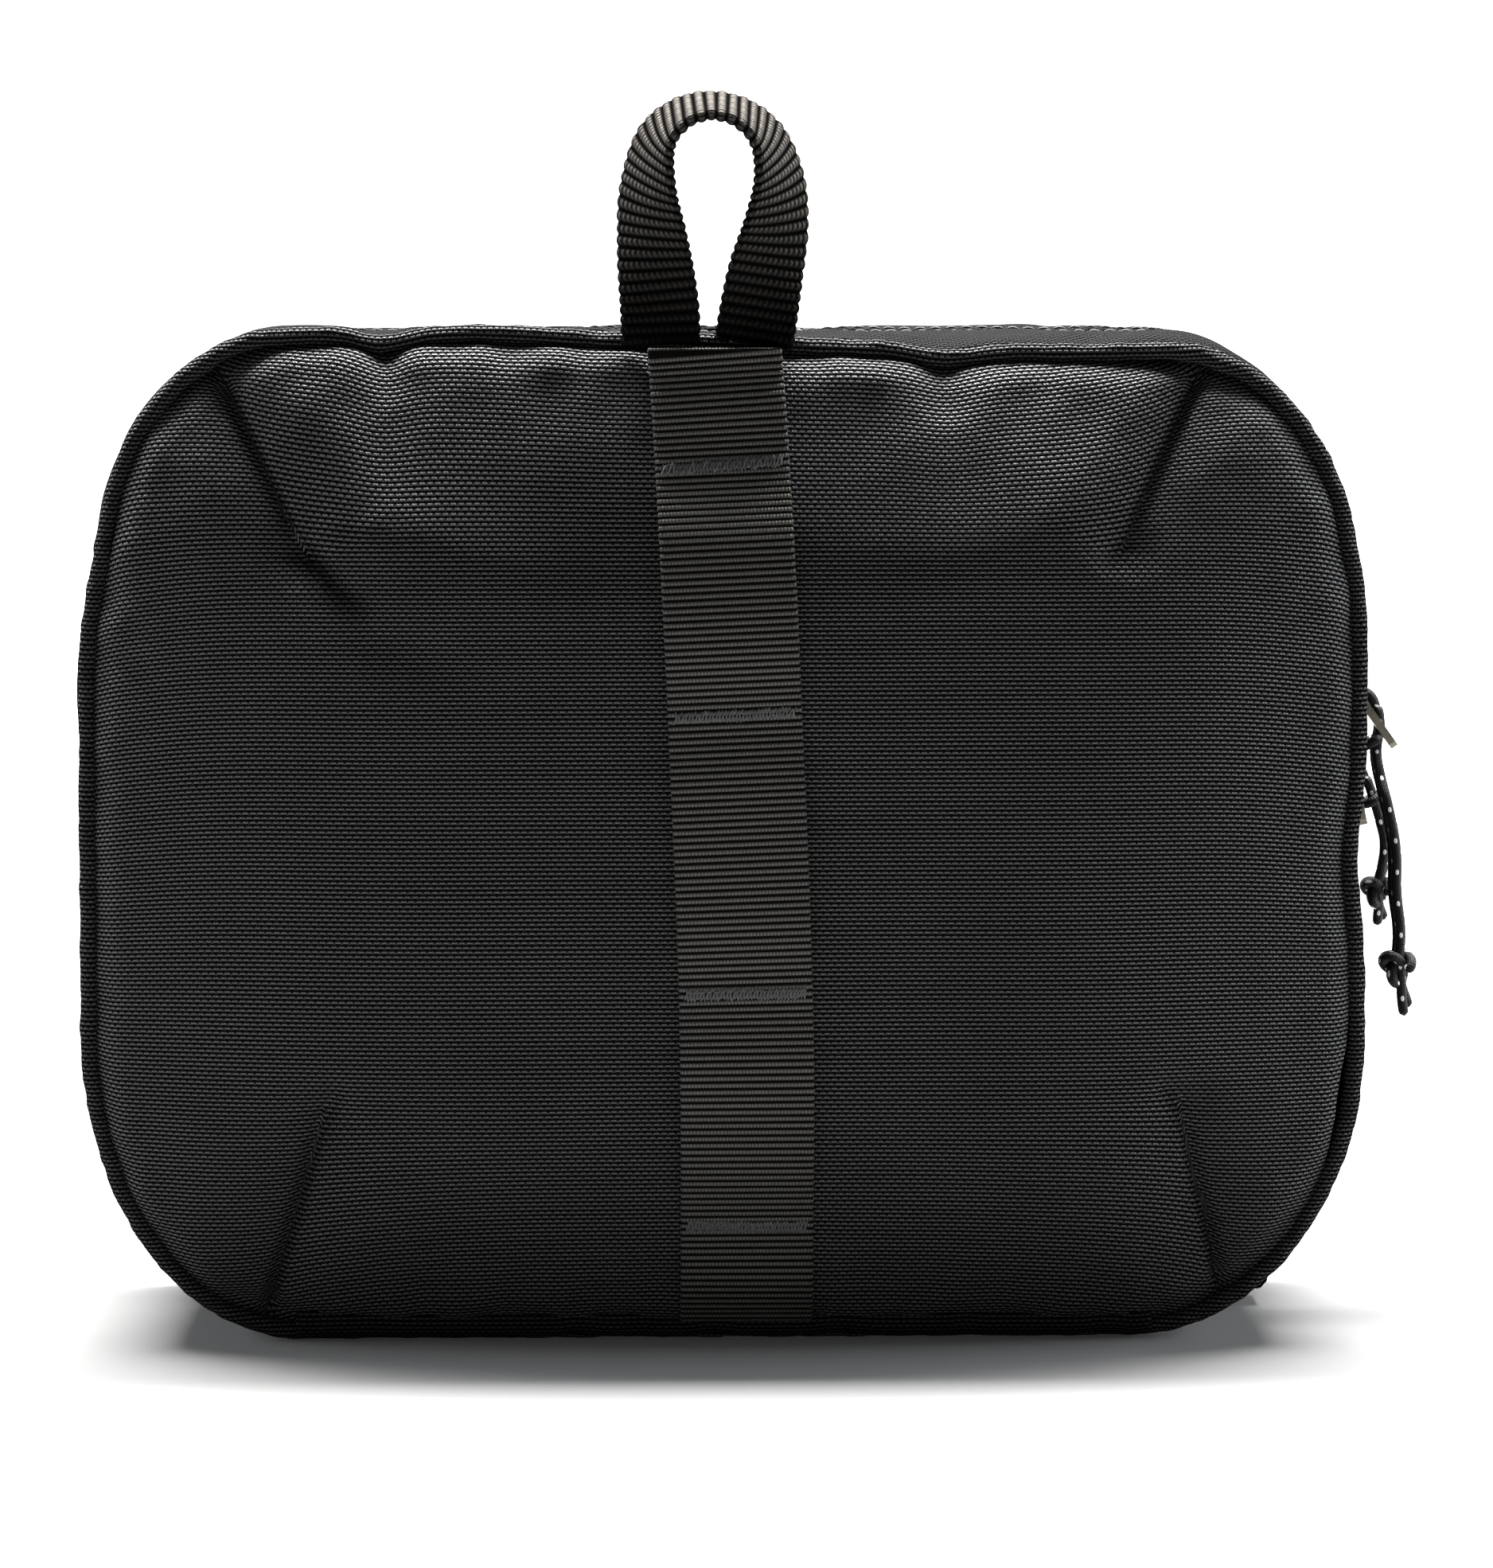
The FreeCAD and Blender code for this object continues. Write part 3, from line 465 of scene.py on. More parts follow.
def band_uv(s, profile):
    across = lengths_along(np.array(profile, float))
    return np.stack(np.meshgrid(s, across, indexing="ij"), axis=-1)


# Materials


class Value:
    """A number in a material under construction. Arithmetic on it adds nodes."""

    def __init__(self, shader, socket):
        self.shader, self.socket = shader, socket

    def of(self, operation, *others):
        return self.shader.math(operation, self, *others)

    def __add__(self, other):
        return self.of("ADD", other)

    def __sub__(self, other):
        return self.of("SUBTRACT", other)

    def __rsub__(self, other):
        return self.shader.math("SUBTRACT", other, self)

    def __mul__(self, other):
        return self.of("MULTIPLY", other)

    def __truediv__(self, other):
        return self.of("DIVIDE", other)

    def __abs__(self):
        return self.of("ABSOLUTE")

    def wave(self):
        """The sine of this many half turns."""
        return (self * math.pi).of("SINE")


class Shader:
    """A material under construction: a Principled shader and short ways to add nodes."""

    def __init__(self, name, **values):
        self.material = bpy.data.materials.new(name)
        self.material.use_nodes = True
        self.tree = self.material.node_tree
        self.surface = self.tree.nodes["Principled BSDF"]
        for key, value in values.items():
            self.surface.inputs[key.replace("_", " ")].default_value = value

    def add(self, kind, settings=(), **inputs):
        node = self.tree.nodes.new("ShaderNode" + kind)
        for key, value in settings:
            setattr(node, key, value)
        for key, value in inputs.items():
            self.put(node.inputs[key.replace("_", " ")], value)
        return node

    def put(self, socket, value):
        if isinstance(value, Value):
            value = value.socket
        if isinstance(value, bpy.types.NodeSocket):
            self.tree.links.new(value, socket)
        else:
            socket.default_value = value

    def math(self, operation, *values):
        node = self.tree.nodes.new("ShaderNodeMath")
        node.operation = operation
        for socket, value in zip(node.inputs, values):
            self.put(socket, value)
        return Value(self, node.outputs[0])

    def axes(self, vector):
        parts = self.add("SeparateXYZ", Vector=vector)
        return [Value(self, parts.outputs[axis]) for axis in "XYZ"]

    def weave_place(self):
        """The place in the cloth, and its two coordinates."""
        uv = self.add("UVMap", [("uv_map", UV_NAME)]).outputs["UV"]
        return uv, *self.axes(uv)[:2]

    def object_place(self):
        return self.add("TexCoord").outputs["Object"]

    def ramp(self, value, low, high):
        """Eases from 0 at the low value to 1 at the high one."""
        node = self.add("MapRange", [("interpolation_type", "SMOOTHSTEP")], From_Min=low, From_Max=high)
        self.put(node.inputs["Value"], value)
        return Value(self, node.outputs["Result"])

    def noise(self, vector, scale, detail=2.0):
        return Value(self, self.add("TexNoise", Vector=vector, Scale=scale, Detail=detail).outputs["Fac"])

    def blend(self, factor, low, high):
        """A colour between two others, which are three numbers or an earlier blend."""
        node = self.add("Mix", [("data_type", "RGBA")])
        self.put(node.inputs["Factor"], factor)
        for side, colour in (("A", low), ("B", high)):
            self.put(node.inputs[side], (*colour, 1) if isinstance(colour, tuple) else colour)
        return node.outputs["Result"]

    def finish(self, colour, roughness=None, height=None, distance=0.2):
        """Connects what is given. distance is the relief's depth."""
        self.put(self.surface.inputs["Base Color"], colour)
        if roughness is not None:
            self.put(self.surface.inputs["Roughness"], roughness)
        if height is not None:
            bump = self.add("Bump", Strength=1.0, Distance=distance * MM, Height=height)
            self.put(self.surface.inputs["Normal"], bump.outputs["Normal"])
        return self.material


# Nylon yarn: half of what it returns is a glint in its own colour, which stays weak at a grazing view
YARN = {"Metallic": 0.5, "Specular_IOR_Level": 0.0, "Specular_Tint": (0.15, 0.15, 0.15, 1)}


def woven(name, dark, light, cell=(1.43, 0.86), bump=0.22, wear=0.25):
    """Plain weave of twisted yarn: long floats in rows set off by half a float, small knuckles between. Its
    light colour is partly the yarn and partly painted light: a painted highlight on the upper part of each
    float and painted shade below it.
    """
    shader = Shader(name, **YARN)
    uv, x, y = shader.weave_place()
    row = y / cell[1]
    column = x / cell[0] + row.of("FLOOR") * 0.5
    height_in_row = row.of("FRACT")

    def stripe(middle, near, far):
        return 1.0 - shader.ramp(abs(height_in_row - middle), near, far)

    # Painted glints: light streaks along each float where its twisted fibres catch the light.
    twist = ((column * 2.5 + height_in_row) * 2).wave() * 0.2 + 0.8
    body = shader.ramp(column.of("PINGPONG", 0.5), 0.09, 0.24)
    knuckle = (1.0 - body) * stripe(0.42, 0.1, 0.4)
    # Painted highlight and shade: each float is brightest a little above the middle of its row and dark below
    # it, as if lit from above; the knuckles between sit lower and dimmer.
    thread = knuckle * 0.28 + body * stripe(0.58, 0.08, 0.36) * twist
    fibre = shader.noise(uv, 4.0, 3.0)
    patch = shader.noise(uv, 0.05)
    shade = thread * (fibre * 0.7 + 0.65) * (patch * wear + (1 - wear / 2))
    return shader.finish(shader.blend(shade, dark, light), 0.9 - thread * 0.5, fibre * 0.2 + thread, bump)


def ribbed(name, dark, light, rib, yarn, bump=0.15, thin=0.5, dark_below=None):
    """Webbing: cords across the strap, each crossed by fine yarns. U runs up the strap and V across it.

    dark_below gives two heights between which the strap's colour darkens downwards.
    """
    shader = Shader(name, **YARN)
    uv, x, y = shader.weave_place()
    row = x / rib
    ridge = abs(row.wave())
    bead = abs((y / yarn + row.of("FLOOR") * 0.5).wave())
    fibre = shader.noise(uv, 5.0, 3.0)
    crest = shader.ramp(ridge, thin, 1.0) * (bead * 0.6 + 0.4)
    shade = crest * (fibre * 0.8 + 0.6)
    if dark_below:
        height = shader.axes(shader.object_place())[2]
        shade = shade * (shader.ramp(height, dark_below[0] * MM, dark_below[1] * MM) * 0.93 + 0.07)
    colour = shader.blend(shade, dark, light)
    return shader.finish(colour, 0.9 - crest * 0.5, ridge * bead + fibre * 0.2, bump)


def herringbone(name, dark, light):
    """Zipper tape: fine slanting ribs that turn back at even steps."""
    shader = Shader(name, Roughness=0.8, **YARN)
    uv, x, y = shader.weave_place()
    rib = ((x + y.of("PINGPONG", 1.6)) * (2 / 0.8)).wave() * 0.5 + 0.5
    fibre = shader.noise(uv, 5.0)
    return shader.finish(shader.blend(rib * (fibre * 0.6 + 0.7), dark, light), height=rib, distance=0.12)


def lining_cloth():
    """Smooth grey lining with a fine rib grid."""
    shader = Shader("lining_cloth", Roughness=0.6, Specular_IOR_Level=0.2)
    uv, *axes = shader.weave_place()
    lines = [(1.0 - abs((axis / 5).wave())).of("POWER", 12.0) for axis in axes]
    grid = lines[0].of("MAXIMUM", lines[1])
    fine = shader.noise(uv, 3.0, 3.0)
    patch = shader.noise(uv, 0.05)
    shade = (grid * 0.5 + (fine * 0.3 + 0.1)) * (patch * 0.5 + 0.75)
    colour = shader.blend(shade, (0.028, 0.03, 0.033), (0.062, 0.065, 0.071))
    return shader.finish(colour, height=grid + fine * 0.3, distance=0.12)


def foam():
    shader = Shader("foam_padding", Roughness=0.9)
    cells = shader.add("TexVoronoi", Vector=shader.weave_place()[0], Scale=1.4).outputs["Distance"]
    colour = shader.blend(cells, (0.07, 0.07, 0.075), (0.16, 0.16, 0.165))
    return shader.finish(colour, height=cells, distance=0.3)


def cord_braid():
    """Braided cord with rows of light flecks along it."""
    shader = Shader("cord_braid", Roughness=0.6, Specular_IOR_Level=0.12)
    _, along, round_ = shader.weave_place()
    plait = 2 / BRAID_PITCH
    braid = ((along + round_) * plait).wave() * ((along - round_) * plait).wave() * 0.5 + 0.5
    quarter = TAU * STRAND_RADIUS / 4
    line = round_ / quarter
    whole = line.of("ROUND")
    gap_u = ((along / FLECK_PITCH + whole * 0.37).of("FRACT") - 0.5) * (FLECK_PITCH / FLECK_SIZE[0])
    gap_v = (line - whole) * (quarter / FLECK_SIZE[1])
    fleck = (gap_u * gap_u + gap_v * gap_v).of("LESS_THAN", 1.0)
    dark = shader.blend(braid, (0.003, 0.003, 0.003), (0.02, 0.02, 0.021))
    return shader.finish(shader.blend(fleck, dark, (0.8, 0.82, 0.85)), height=braid, distance=0.1)


def speckle(name, dark, light, scale, roughness, metallic=0.0, bump=0.03, specular=0.5):
    """A hard finish with faint mottling and scuffs, from the place on the piece."""
    shader = Shader(name, Metallic=metallic, Specular_IOR_Level=specular)
    place = shader.object_place()
    mottle = shader.noise(place, scale, 4.0)
    colour = shader.blend(mottle, dark, light)
    rough = mottle * (roughness[1] - roughness[0]) + roughness[0]
    return shader.finish(colour, rough, shader.noise(place, scale * 6), bump)


MATERIALS = {
    "oxford": woven("oxford_weave", (0.0025, 0.0025, 0.0026), (0.13, 0.13, 0.132)),
    # Painted shade: the side bands are the panels' own fabric, made darker so that their upward faces stay dim
    # under the top lamp.
    "side": woven("side_weave_shaded", (0.0015, 0.0015, 0.0015), (0.038, 0.038, 0.039)),
    # Painted shade: the piping is the panels' own fabric, made darker for the shadow on its underside and in
    # the seam beside it.
    "rim": woven("rim_weave_shaded", (0.002, 0.002, 0.002), (0.085, 0.085, 0.085), cell=(1.15, 0.92), wear=0.4),
    "base": woven("base_weave", (0.002, 0.002, 0.002), (0.05, 0.05, 0.051), cell=(1.3, 0.9)),
    "webbing": ribbed("webbing_ribs", (0.006, 0.0055, 0.005), (0.108, 0.105, 0.098), WEBBING_RIB, 0.64,
                      thin=0.35),
    "loop": ribbed("loop_ribs", (0.003, 0.0028, 0.0026), (0.055, 0.052, 0.048), LOOP_RIB, 1.1, bump=0.3,
                   thin=0.2, dark_below=(185.0, 226.0)),
    "tape": ribbed("binding_ribs", (0.003, 0.003, 0.003), (0.05, 0.05, 0.052), 0.9, 0.5),
    "zip_tape": herringbone("zip_tape", (0.003, 0.003, 0.003), (0.022, 0.022, 0.023)),
    "lining": lining_cloth(),
    "foam": foam(),
    "mesh": speckle("mesh_knit", (0.006, 0.006, 0.006), (0.022, 0.022, 0.023), 900, (0.5, 0.7), bump=0.1),
    "coil": speckle("coil_nylon", (0.006, 0.006, 0.006), (0.016, 0.016, 0.017), 500, (0.4, 0.55),
                    specular=0.15),
    "thread": speckle("bonded_thread", (0.02, 0.02, 0.021), (0.11, 0.11, 0.11), 1500, (0.4, 0.6), bump=0.08),
    "dark_thread": speckle("dark_thread", (0.008, 0.008, 0.009), (0.024, 0.024, 0.026), 1500, (0.4, 0.6),
                           specular=0.2),
    "metal": speckle("gunmetal", (0.06, 0.056, 0.044), (0.22, 0.208, 0.168), 300, (0.2, 0.38), metallic=1.0),
    "plastic": speckle("hook_acetal", (0.007, 0.007, 0.008), (0.016, 0.016, 0.018), 220, (0.28, 0.42)),
    "cord": cord_braid(),
}


# Panels


def crown(depth, reach, facet=0.0):
    """How far a padded panel stands out at that distance in from its seam: a quick lip, then a slow rise.

    facet goes from 0 at the panel's sides to 1 at its top and bottom, where the rise is shorter and evener.
    """
    depth = np.asarray(depth, float)
    lip = 1 - (1 - np.clip(depth / LIP_REACH, 0, 1)) ** 2
    slow = 1 - (1 - np.clip(depth / (reach * (1 - 0.33 * facet)), 0, 1)) ** (2.6 - 1.1 * facet)
    return LIP_SHARE * lip + (1 - LIP_SHARE) * slow


def closer_near_darts(count):
    """Steps from -1 to 1 that lie closer together where the darts are."""
    fine = np.linspace(-1, 1, 2001)
    density = 1 + 2.0 * np.exp(-(((np.abs(fine) - 0.72) / 0.15) ** 2))
    share = np.cumsum(density)
    return np.interp(np.linspace(share[0], share[-1], count), share, fine)


def follow_darts(a, b, angles, reaches):
    """Slides the grid's columns sideways, so that one of them runs along the bottom of each dart."""
    columns, moved = a[:, 0], a.copy()
    for start, tip, _ in DARTS:
        line = np.linspace(start, tip, 12) - (0, HEIGHT / 2)
        angle = np.arctan2(line[:, 1], line[:, 0])
        share = np.hypot(*line.T) / np.interp(angle, angles, reaches, period=TAU)
        square = np.stack([np.cos(angle) / WIDTH, np.sin(angle) / HEIGHT], axis=1)
        square *= (share / np.abs(square).max(axis=1))[:, None]
        order = np.argsort(square[:, 1])
        wanted = np.interp(b, square[order, 1], square[order, 0])
        column = columns[np.argmin(np.abs(columns - square[:, 0].mean()))]
        past_tip = (square[-1, 1] - b) * np.sign(square[-1, 1])
        near = (1 - smooth_step(np.abs(a - column), 0, 0.24)) * (1 - smooth_step(past_tip, 0, 0.3))
        moved += (wanted - column) * near
    return moved


def panel_grid(across, up, inset, seam_y, face_y, reach):
    """Points, depths from the seam and UVs of a crowned panel inside the outline."""
    a, b = np.meshgrid(closer_near_darts(across), closer_near_darts(up), indexing="ij")
    centre = HEIGHT / 2
    s = np.linspace(0, OUTLINE.length, 3000, endpoint=False)
    rim, normals = OUTLINE.at(s, inset)
    spokes = rim - (0, centre)
    angles = np.unwrap(np.arctan2(spokes[:, 1], spokes[:, 0]))
    reaches = np.hypot(*spokes.T)
    a = follow_darts(a, b, angles, reaches)
    t = np.maximum(np.abs(a), np.abs(b))
    slant = np.abs(np.sum(unit(spokes) * normals, axis=1))
    angle = np.arctan2(b * HEIGHT / 2, a * WIDTH / 2)
    angle = np.where(angle < angles[0], angle + TAU, angle)
    radius = np.interp(angle, angles, reaches, period=TAU)
    turns = np.linspace(-math.pi, math.pi, 721)[:-1]
    spread = np.exp(-((turns / math.radians(LEAN_BLUR)) ** 2))
    slant = np.interp(turns, angles, slant, period=TAU)
    slant = np.real(np.fft.ifft(np.fft.fft(slant) * np.fft.fft(np.fft.ifftshift(spread / spread.sum()))))
    lean = np.interp(angle, turns, slant, period=TAU)
    far = t * radius
    depth = (1 - t) * radius * lean
    x = far * np.cos(angle)
    z = centre + far * np.sin(angle)
    facet = smooth_step(np.abs(b) - np.abs(a), -0.3, 0.3)
    rise = (face_y - seam_y) * crown(depth, reach, facet)
    points = np.stack([x, seam_y + rise, z], axis=-1)
    steps = np.linspace(0, reach, 400)
    heights = abs(face_y - seam_y) * crown(steps, reach)
    extra = np.hypot(np.diff(steps), np.diff(heights)) - np.diff(steps)
    gained = extra.sum() - np.concatenate([[0], np.cumsum(extra)])
    far_flat = far + np.interp(depth, steps, gained)
    uv = np.stack([far_flat * np.cos(angle), centre + far_flat * np.sin(angle)], axis=-1)
    return points, depth, uv


def grid_normals(points, outward):
    """Unit normals of a grid of points, turned to the side of the given direction."""
    du = np.gradient(points, axis=0)
    dv = np.gradient(points, axis=1)
    normals = unit(np.cross(du, dv))
    middle = normals[normals.shape[0] // 2, normals.shape[1] // 2]
    return normals if np.dot(middle, outward) > 0 else -normals


def beside(start, tip, x, z):
    """Share of the way from a line's start to its tip, signed distance to its left, and the line's length."""
    length = math.hypot(tip[0] - start[0], tip[1] - start[1])
    ux, uz = (tip[0] - start[0]) / length, (tip[1] - start[1]) / length
    along = (x - start[0]) * ux + (z - start[1]) * uz
    across = (x - start[0]) * -uz + (z - start[1]) * ux
    return along / length, across, length


def dart_relief(x, z, spread=0.0):
    """Height of the corner darts and of the folds at their tips, negative inwards.

    spread widens each of them by that much to both sides, for the layers that must stay behind the cloth.
    """
    total = np.zeros_like(x)
    for start, tip, _ in DARTS:
        share, across, length = beside(start, tip, x, z)
        across = np.maximum(np.abs(across) - spread, 0)
        share = share - spread / length
        fade = 1 - smooth_step(share, 0.8, 1.05)
        total -= DART_DEPTH * np.exp(-((across / DART_HALF_WIDTH) ** 2)) * fade
        fade = 1 - smooth_step(share, 0.7, 1.2)
        total -= VALLEY_DEPTH * np.exp(-np.abs(across / VALLEY_HALF_WIDTH)) * fade
        far = np.maximum(np.hypot(x - tip[0], z - tip[1]) - spread, 0)
        total -= DIMPLE_DEPTH * np.exp(-((far / DIMPLE_RADIUS) ** 2))
    for start, tip, depth, half in TIP_FOLDS:
        share, across, length = beside(start, tip, x, z)
        across = np.maximum(np.abs(across) - spread, 0)
        fade = smooth_step(share, -0.2, 0.15) * (1 - smooth_step(share, 0.6, 1.15))
        furrow = 1.25 * np.exp(-((across / half) ** 2)) - 0.45 * np.exp(-((across / half / 2.4) ** 2))
        total -= depth * furrow * fade
    return total


def turn_rows(x, z, depth, uv):
    """Bends the weave's rows towards each corner on the inner side of its dart, and down along the sides."""
    rise = np.zeros_like(x)
    for start, tip, turn in DARTS:
        share, across, _ = beside(start, tip, x, z)
        inner = across * (1 if (tip[0] < 0) == (turn > 0) else -1)
        height = np.clip(1.05 - share, 0, 1.3)
        rise += turn * height * np.where(inner > 0, np.exp(-np.abs(inner) / ROW_TURN_REACH),
                                         -0.25 * np.exp(-np.abs(inner) / 8))
    sides = smooth_step(np.abs(x), 78, 108) * smooth_step(z, 30, 110) * (1 - smooth_step(z, 135, 170))
    rise -= 3.2 * np.exp(-depth / 13) * sides
    uv = uv.copy()
    uv[..., 1] -= rise
    return uv


def front_surface(across, up, spread=0.0):
    inset = PANEL_INSET + spread / 2
    points, depth, uv = panel_grid(across, up, inset, SEAM_Y - 0.4, FACE_Y, PANEL_RISE_LENGTH)
    normals = grid_normals(points, (0, -1, 0))
    x, z = points[..., 0], points[..., 2]
    relief = dart_relief(x, z, spread) * smooth_step(depth, -1, 2.2)
    relief = relief + 0.3 * waves(x, z, 46, 3) * smooth_step(depth, 4, 30)
    edge = np.exp(-depth / 9) * smooth_step(depth, 0, 2.5)
    relief = relief + 0.4 * edge * waves(x, z, 15, 5) + 0.15 * edge * waves(x, z, 7, 6)
    points = points + normals * relief[..., None]
    points[..., 1] = np.maximum(points[..., 1], FACE_Y - 0.6)
    return settle(points), turn_rows(x, z, depth, uv)


def rear_surface(across, up, _spread=0.0):
    points, depth, uv = panel_grid(across, up, PANEL_INSET, REAR_SEAM_Y - 0.6, REAR_FACE_Y, REAR_RISE_LENGTH)
    normals = grid_normals(points, (0, 1, 0))
    x, z = points[..., 0], points[..., 2]
    relief = 0.35 * waves(x, z, 50, 13) * smooth_step(depth, 4, 30)
    edge = np.exp(-depth / 9) * smooth_step(depth, 0, 2.5)
    relief = relief + 0.4 * edge * waves(x, z, 12, 15)
    return points + normals * relief[..., None], uv


def layer(surface, outward, near, far, grid, spread=0.0):
    """A closed sheet between two depths behind a panel's outer surface."""
    points, uv = surface(*grid, spread)
    normals = grid_normals(points, outward)
    builder = Builder()
    builder.add_shell(points - normals * near, points - normals * far, uv)
    return builder


def make_panels():
    halves = (
        ("front", front_surface, (0, -1, 0), "front_half"),
        ("rear", rear_surface, (0, 1, 0), "rear_half"),
    )
    foam_depth = SHELL + LAYER_GAP
    lining_depth = foam_depth + PADDING + LAYER_GAP
    for half, surface, outward, body in halves:
        cloth = layer(surface, outward, 0.0, SHELL, CLOTH_GRID)
        cloth = cloth.build(f"{half}_panel_cloth", MATERIALS["oxford"])
        finish_piece(cloth, body, "shell_fabric", f"{half}_panel")
        pad = layer(surface, outward, foam_depth, foam_depth + PADDING, FOAM_GRID, LAYER_SPREAD)
        pad = pad.build(f"{half}_foam", MATERIALS["foam"])
        finish_piece(pad, body, "foam_padding", f"{half}_padding")
        face = layer(surface, outward, lining_depth, lining_depth + LINING, LINING_GRID, LAYER_SPREAD)
        face = face.build(f"{half}_lining_cloth", MATERIALS["lining"])
        finish_piece(face, body, "lining_fabric", f"{half}_lining")


# Bands round the bag


def rim(name, y, seed, body, node):
    """Self-fabric piping: a covered cord with slanting creases."""
    s = np.arange(0, OUTLINE.length, 0.8)
    places, normals = OUTLINE.at(s, RIM_INSET)
    turn, way = np.meshgrid(np.arange(RIM_SIDES) / RIM_SIDES * TAU, s)
    radius = RIM_RADIUS + 0.13 * waves(way + turn * 1.6, turn * 2, 8.0, seed)
    radius = radius + 0.06 * waves(way, turn * 2, 3.2, seed + 1)
    out, back = np.cos(turn) * radius, np.sin(turn) * radius
    points = np.empty((len(s), RIM_SIDES, 3))
    points[..., 0] = places[:, None, 0] + normals[:, None, 0] * out
    points[..., 1] = y + back
    points[..., 2] = np.maximum(places[:, None, 1] + normals[:, None, 1] * out, 0.15)
    if y < 0:
        points = settle(points)
    round_ = np.arange(RIM_SIDES + 1) / RIM_SIDES * TAU * RIM_RADIUS
    places, normals = (np.concatenate([rows, rows[:1]])[:, None] for rows in (places, normals))
    builder = Builder()
    builder.add_hoop(points, places + normals * round_[None, :, None])
    return finish_piece(builder.build(name, MATERIALS["rim"]), body, "piping_fabric", node)


def puckers(s, y, seam_y, reach, seed, count):
    """Outward relief of the gathers that start at a seam and die out across the band."""
    random = np.random.default_rng(seed)
    total = np.zeros(np.broadcast(s, y).shape)
    for _ in range(count):
        place = random.uniform(0, OUTLINE.length)
        breadth = random.uniform(2.2, 5.5)
        depth = random.uniform(0.25, 1.0)
        slant = random.uniform(-0.35, 0.35)
        length = reach * random.uniform(0.6, 1.5)
        off = s - place - slant * (y - seam_y)
        total -= depth * np.exp(-((off / breadth) ** 2)) * np.exp(-((np.abs(y - seam_y) / length) ** 2))
    return total


def gusset(name, profile, seam_y, reach, swell, seed, body, node):
    """The side band of one half, gathered at its seam and hemmed at the zipper."""
    s = np.arange(S_RIGHT, S_LEFT, 1.25)
    profile = smooth_curve(profile, 1.1)
    places, _ = OUTLINE.at(s)
    way, y = np.meshgrid(s, profile[:, 0], indexing="ij")
    free = np.clip(np.minimum(np.abs(y - seam_y), np.abs(y - profile[-1, 0])) / 6, 0, 1)
    high = smooth_step(places[:, 1], 3, 40)[:, None]
    low_y, high_y = (seam_y, profile[:, 0].max()) if seam_y < 0 else (profile[:, 0].min(), seam_y)
    lift = swell * np.sin(np.clip((y - low_y) / (high_y - low_y), 0, 1) * math.pi)
    lift = lift * np.where(places[:, 0] > WIDTH * 0.42, 0.45, 1.0)[:, None]
    lift = lift + puckers(way, y, seam_y, reach, seed, 60) + 0.35 * waves(way, y, 24, seed + 2) * free
    lift = lift * high - 1.1 * (1 - smooth_step(places[:, 1], 1.0, 5.0))[:, None]
    outer = band(s, profile, lift)
    inner = band(s, profile, lift - SHELL * 0.8)
    if seam_y < 0:
        outer, inner = settle(outer), settle(inner)
    builder = Builder()
    builder.add_shell(outer, inner, band_uv(s, profile))
    return finish_piece(builder.build(name, MATERIALS["side"]), body, "shell_fabric", node)


def strip(half, part, y_range, inset, thickness, slot, node):
    """A plain closed band along the zipper's part of the outline. Its slot names its material too."""
    s = np.arange(S_RIGHT, S_LEFT, 2.0)
    profile = smooth_curve([(y, -inset) for y in y_range], 1.5)
    builder = Builder()
    builder.add_shell(band(s, profile), band(s, profile, -thickness), band_uv(s, profile))
    material = MATERIALS["lining" if slot == "lining_fabric" else slot]
    finish_piece(builder.build(f"{half}_{part}", material), f"{half}_half", slot, node)


def bound_seam(name, y, way, body, node):
    """Tape folded over the seam allowance inside a half: a rounded lip that points inwards."""
    s = np.arange(0, OUTLINE.length, 1.6)
    lip = ((0, -1.4), (0.1, -6.5), (0.5, -7.8), (1.4, -8.0), (1.9, -6.8), (1.8, -1.4))
    lip = smooth_curve([(y + way * deep, out) for deep, out in lip], 0.7)
    wobble = 0.35 * waves(s, s * 0, 17, 31)[:, None] * smooth_step(-lip[:, 1], 2, 7)[None, :]
    points = band(s, lip, wobble)
    if y < 0:
        points = settle(points)
    across = np.append(lengths_along(lip), lengths_along(lip)[-1] + 2)
    builder = Builder()
    uv = np.stack(np.meshgrid(np.append(s, OUTLINE.length), across, indexing="ij"), axis=-1)
    builder.add_hoop(points, uv)
    return finish_piece(builder.build(name, MATERIALS["tape"]), body, "binding_tape", node)


def stitch_row(builder, line, normals, pitch=3.0, length=2.3, radius=0.24):
    """Separate stitches along a line, each one dipping into the cloth at its ends."""
    along = lengths_along(line)
    for start in np.arange(pitch / 2, along[-1] - pitch, pitch):
        places = start + np.linspace(0, length, 6)
        centre = np.stack([np.interp(places, along, line[:, i]) for i in range(3)], axis=1)
        up = np.stack([np.interp(places, along, normals[:, i]) for i in range(3)], axis=1)
        hump = np.sin(np.linspace(0, math.pi, 6)) * radius * 1.3 - radius * 0.5
        builder.add_tube(tube_rings(centre + up * hump[:, None], radius, 6, first=up[0], rounded_ends=False))


def make_stitches():
    """Rows of stitches along both edges of the zipper's slot."""
    s = np.arange(S_RIGHT + 6, S_LEFT - 6, 1.0)
    places, normals = OUTLINE.at(s)
    for half, y in (("front", SLOT_FRONT_Y - 2.2), ("rear", SLOT_REAR_Y + 2.2)):
        tree = surface_tree(bpy.data.objects[f"{half}_gusset_cloth"])
        line, up = [], []
        for (x, z), (nx, nz) in zip(places, normals):
            origin = Vector((x + nx * 8, y, z + nz * 8)) * MM
            hit = tree.ray_cast(origin, Vector((-nx, 0, -nz)))[0]
            if hit is not None:
                line.append(np.array(hit) / MM)
                up.append((nx, 0, nz))
        builder = Builder()
        stitch_row(builder, np.array(line), np.array(up))
        stitches = builder.build(f"{half}_slot_stitches", MATERIALS["dark_thread"])
        finish_piece(stitches, f"{half}_half", "thread")


def surface_tree(piece):
    mesh = piece.data
    points = [v.co[:] for v in mesh.vertices]
    return BVHTree.FromPolygons(points, [p.vertices[:] for p in mesh.polygons])


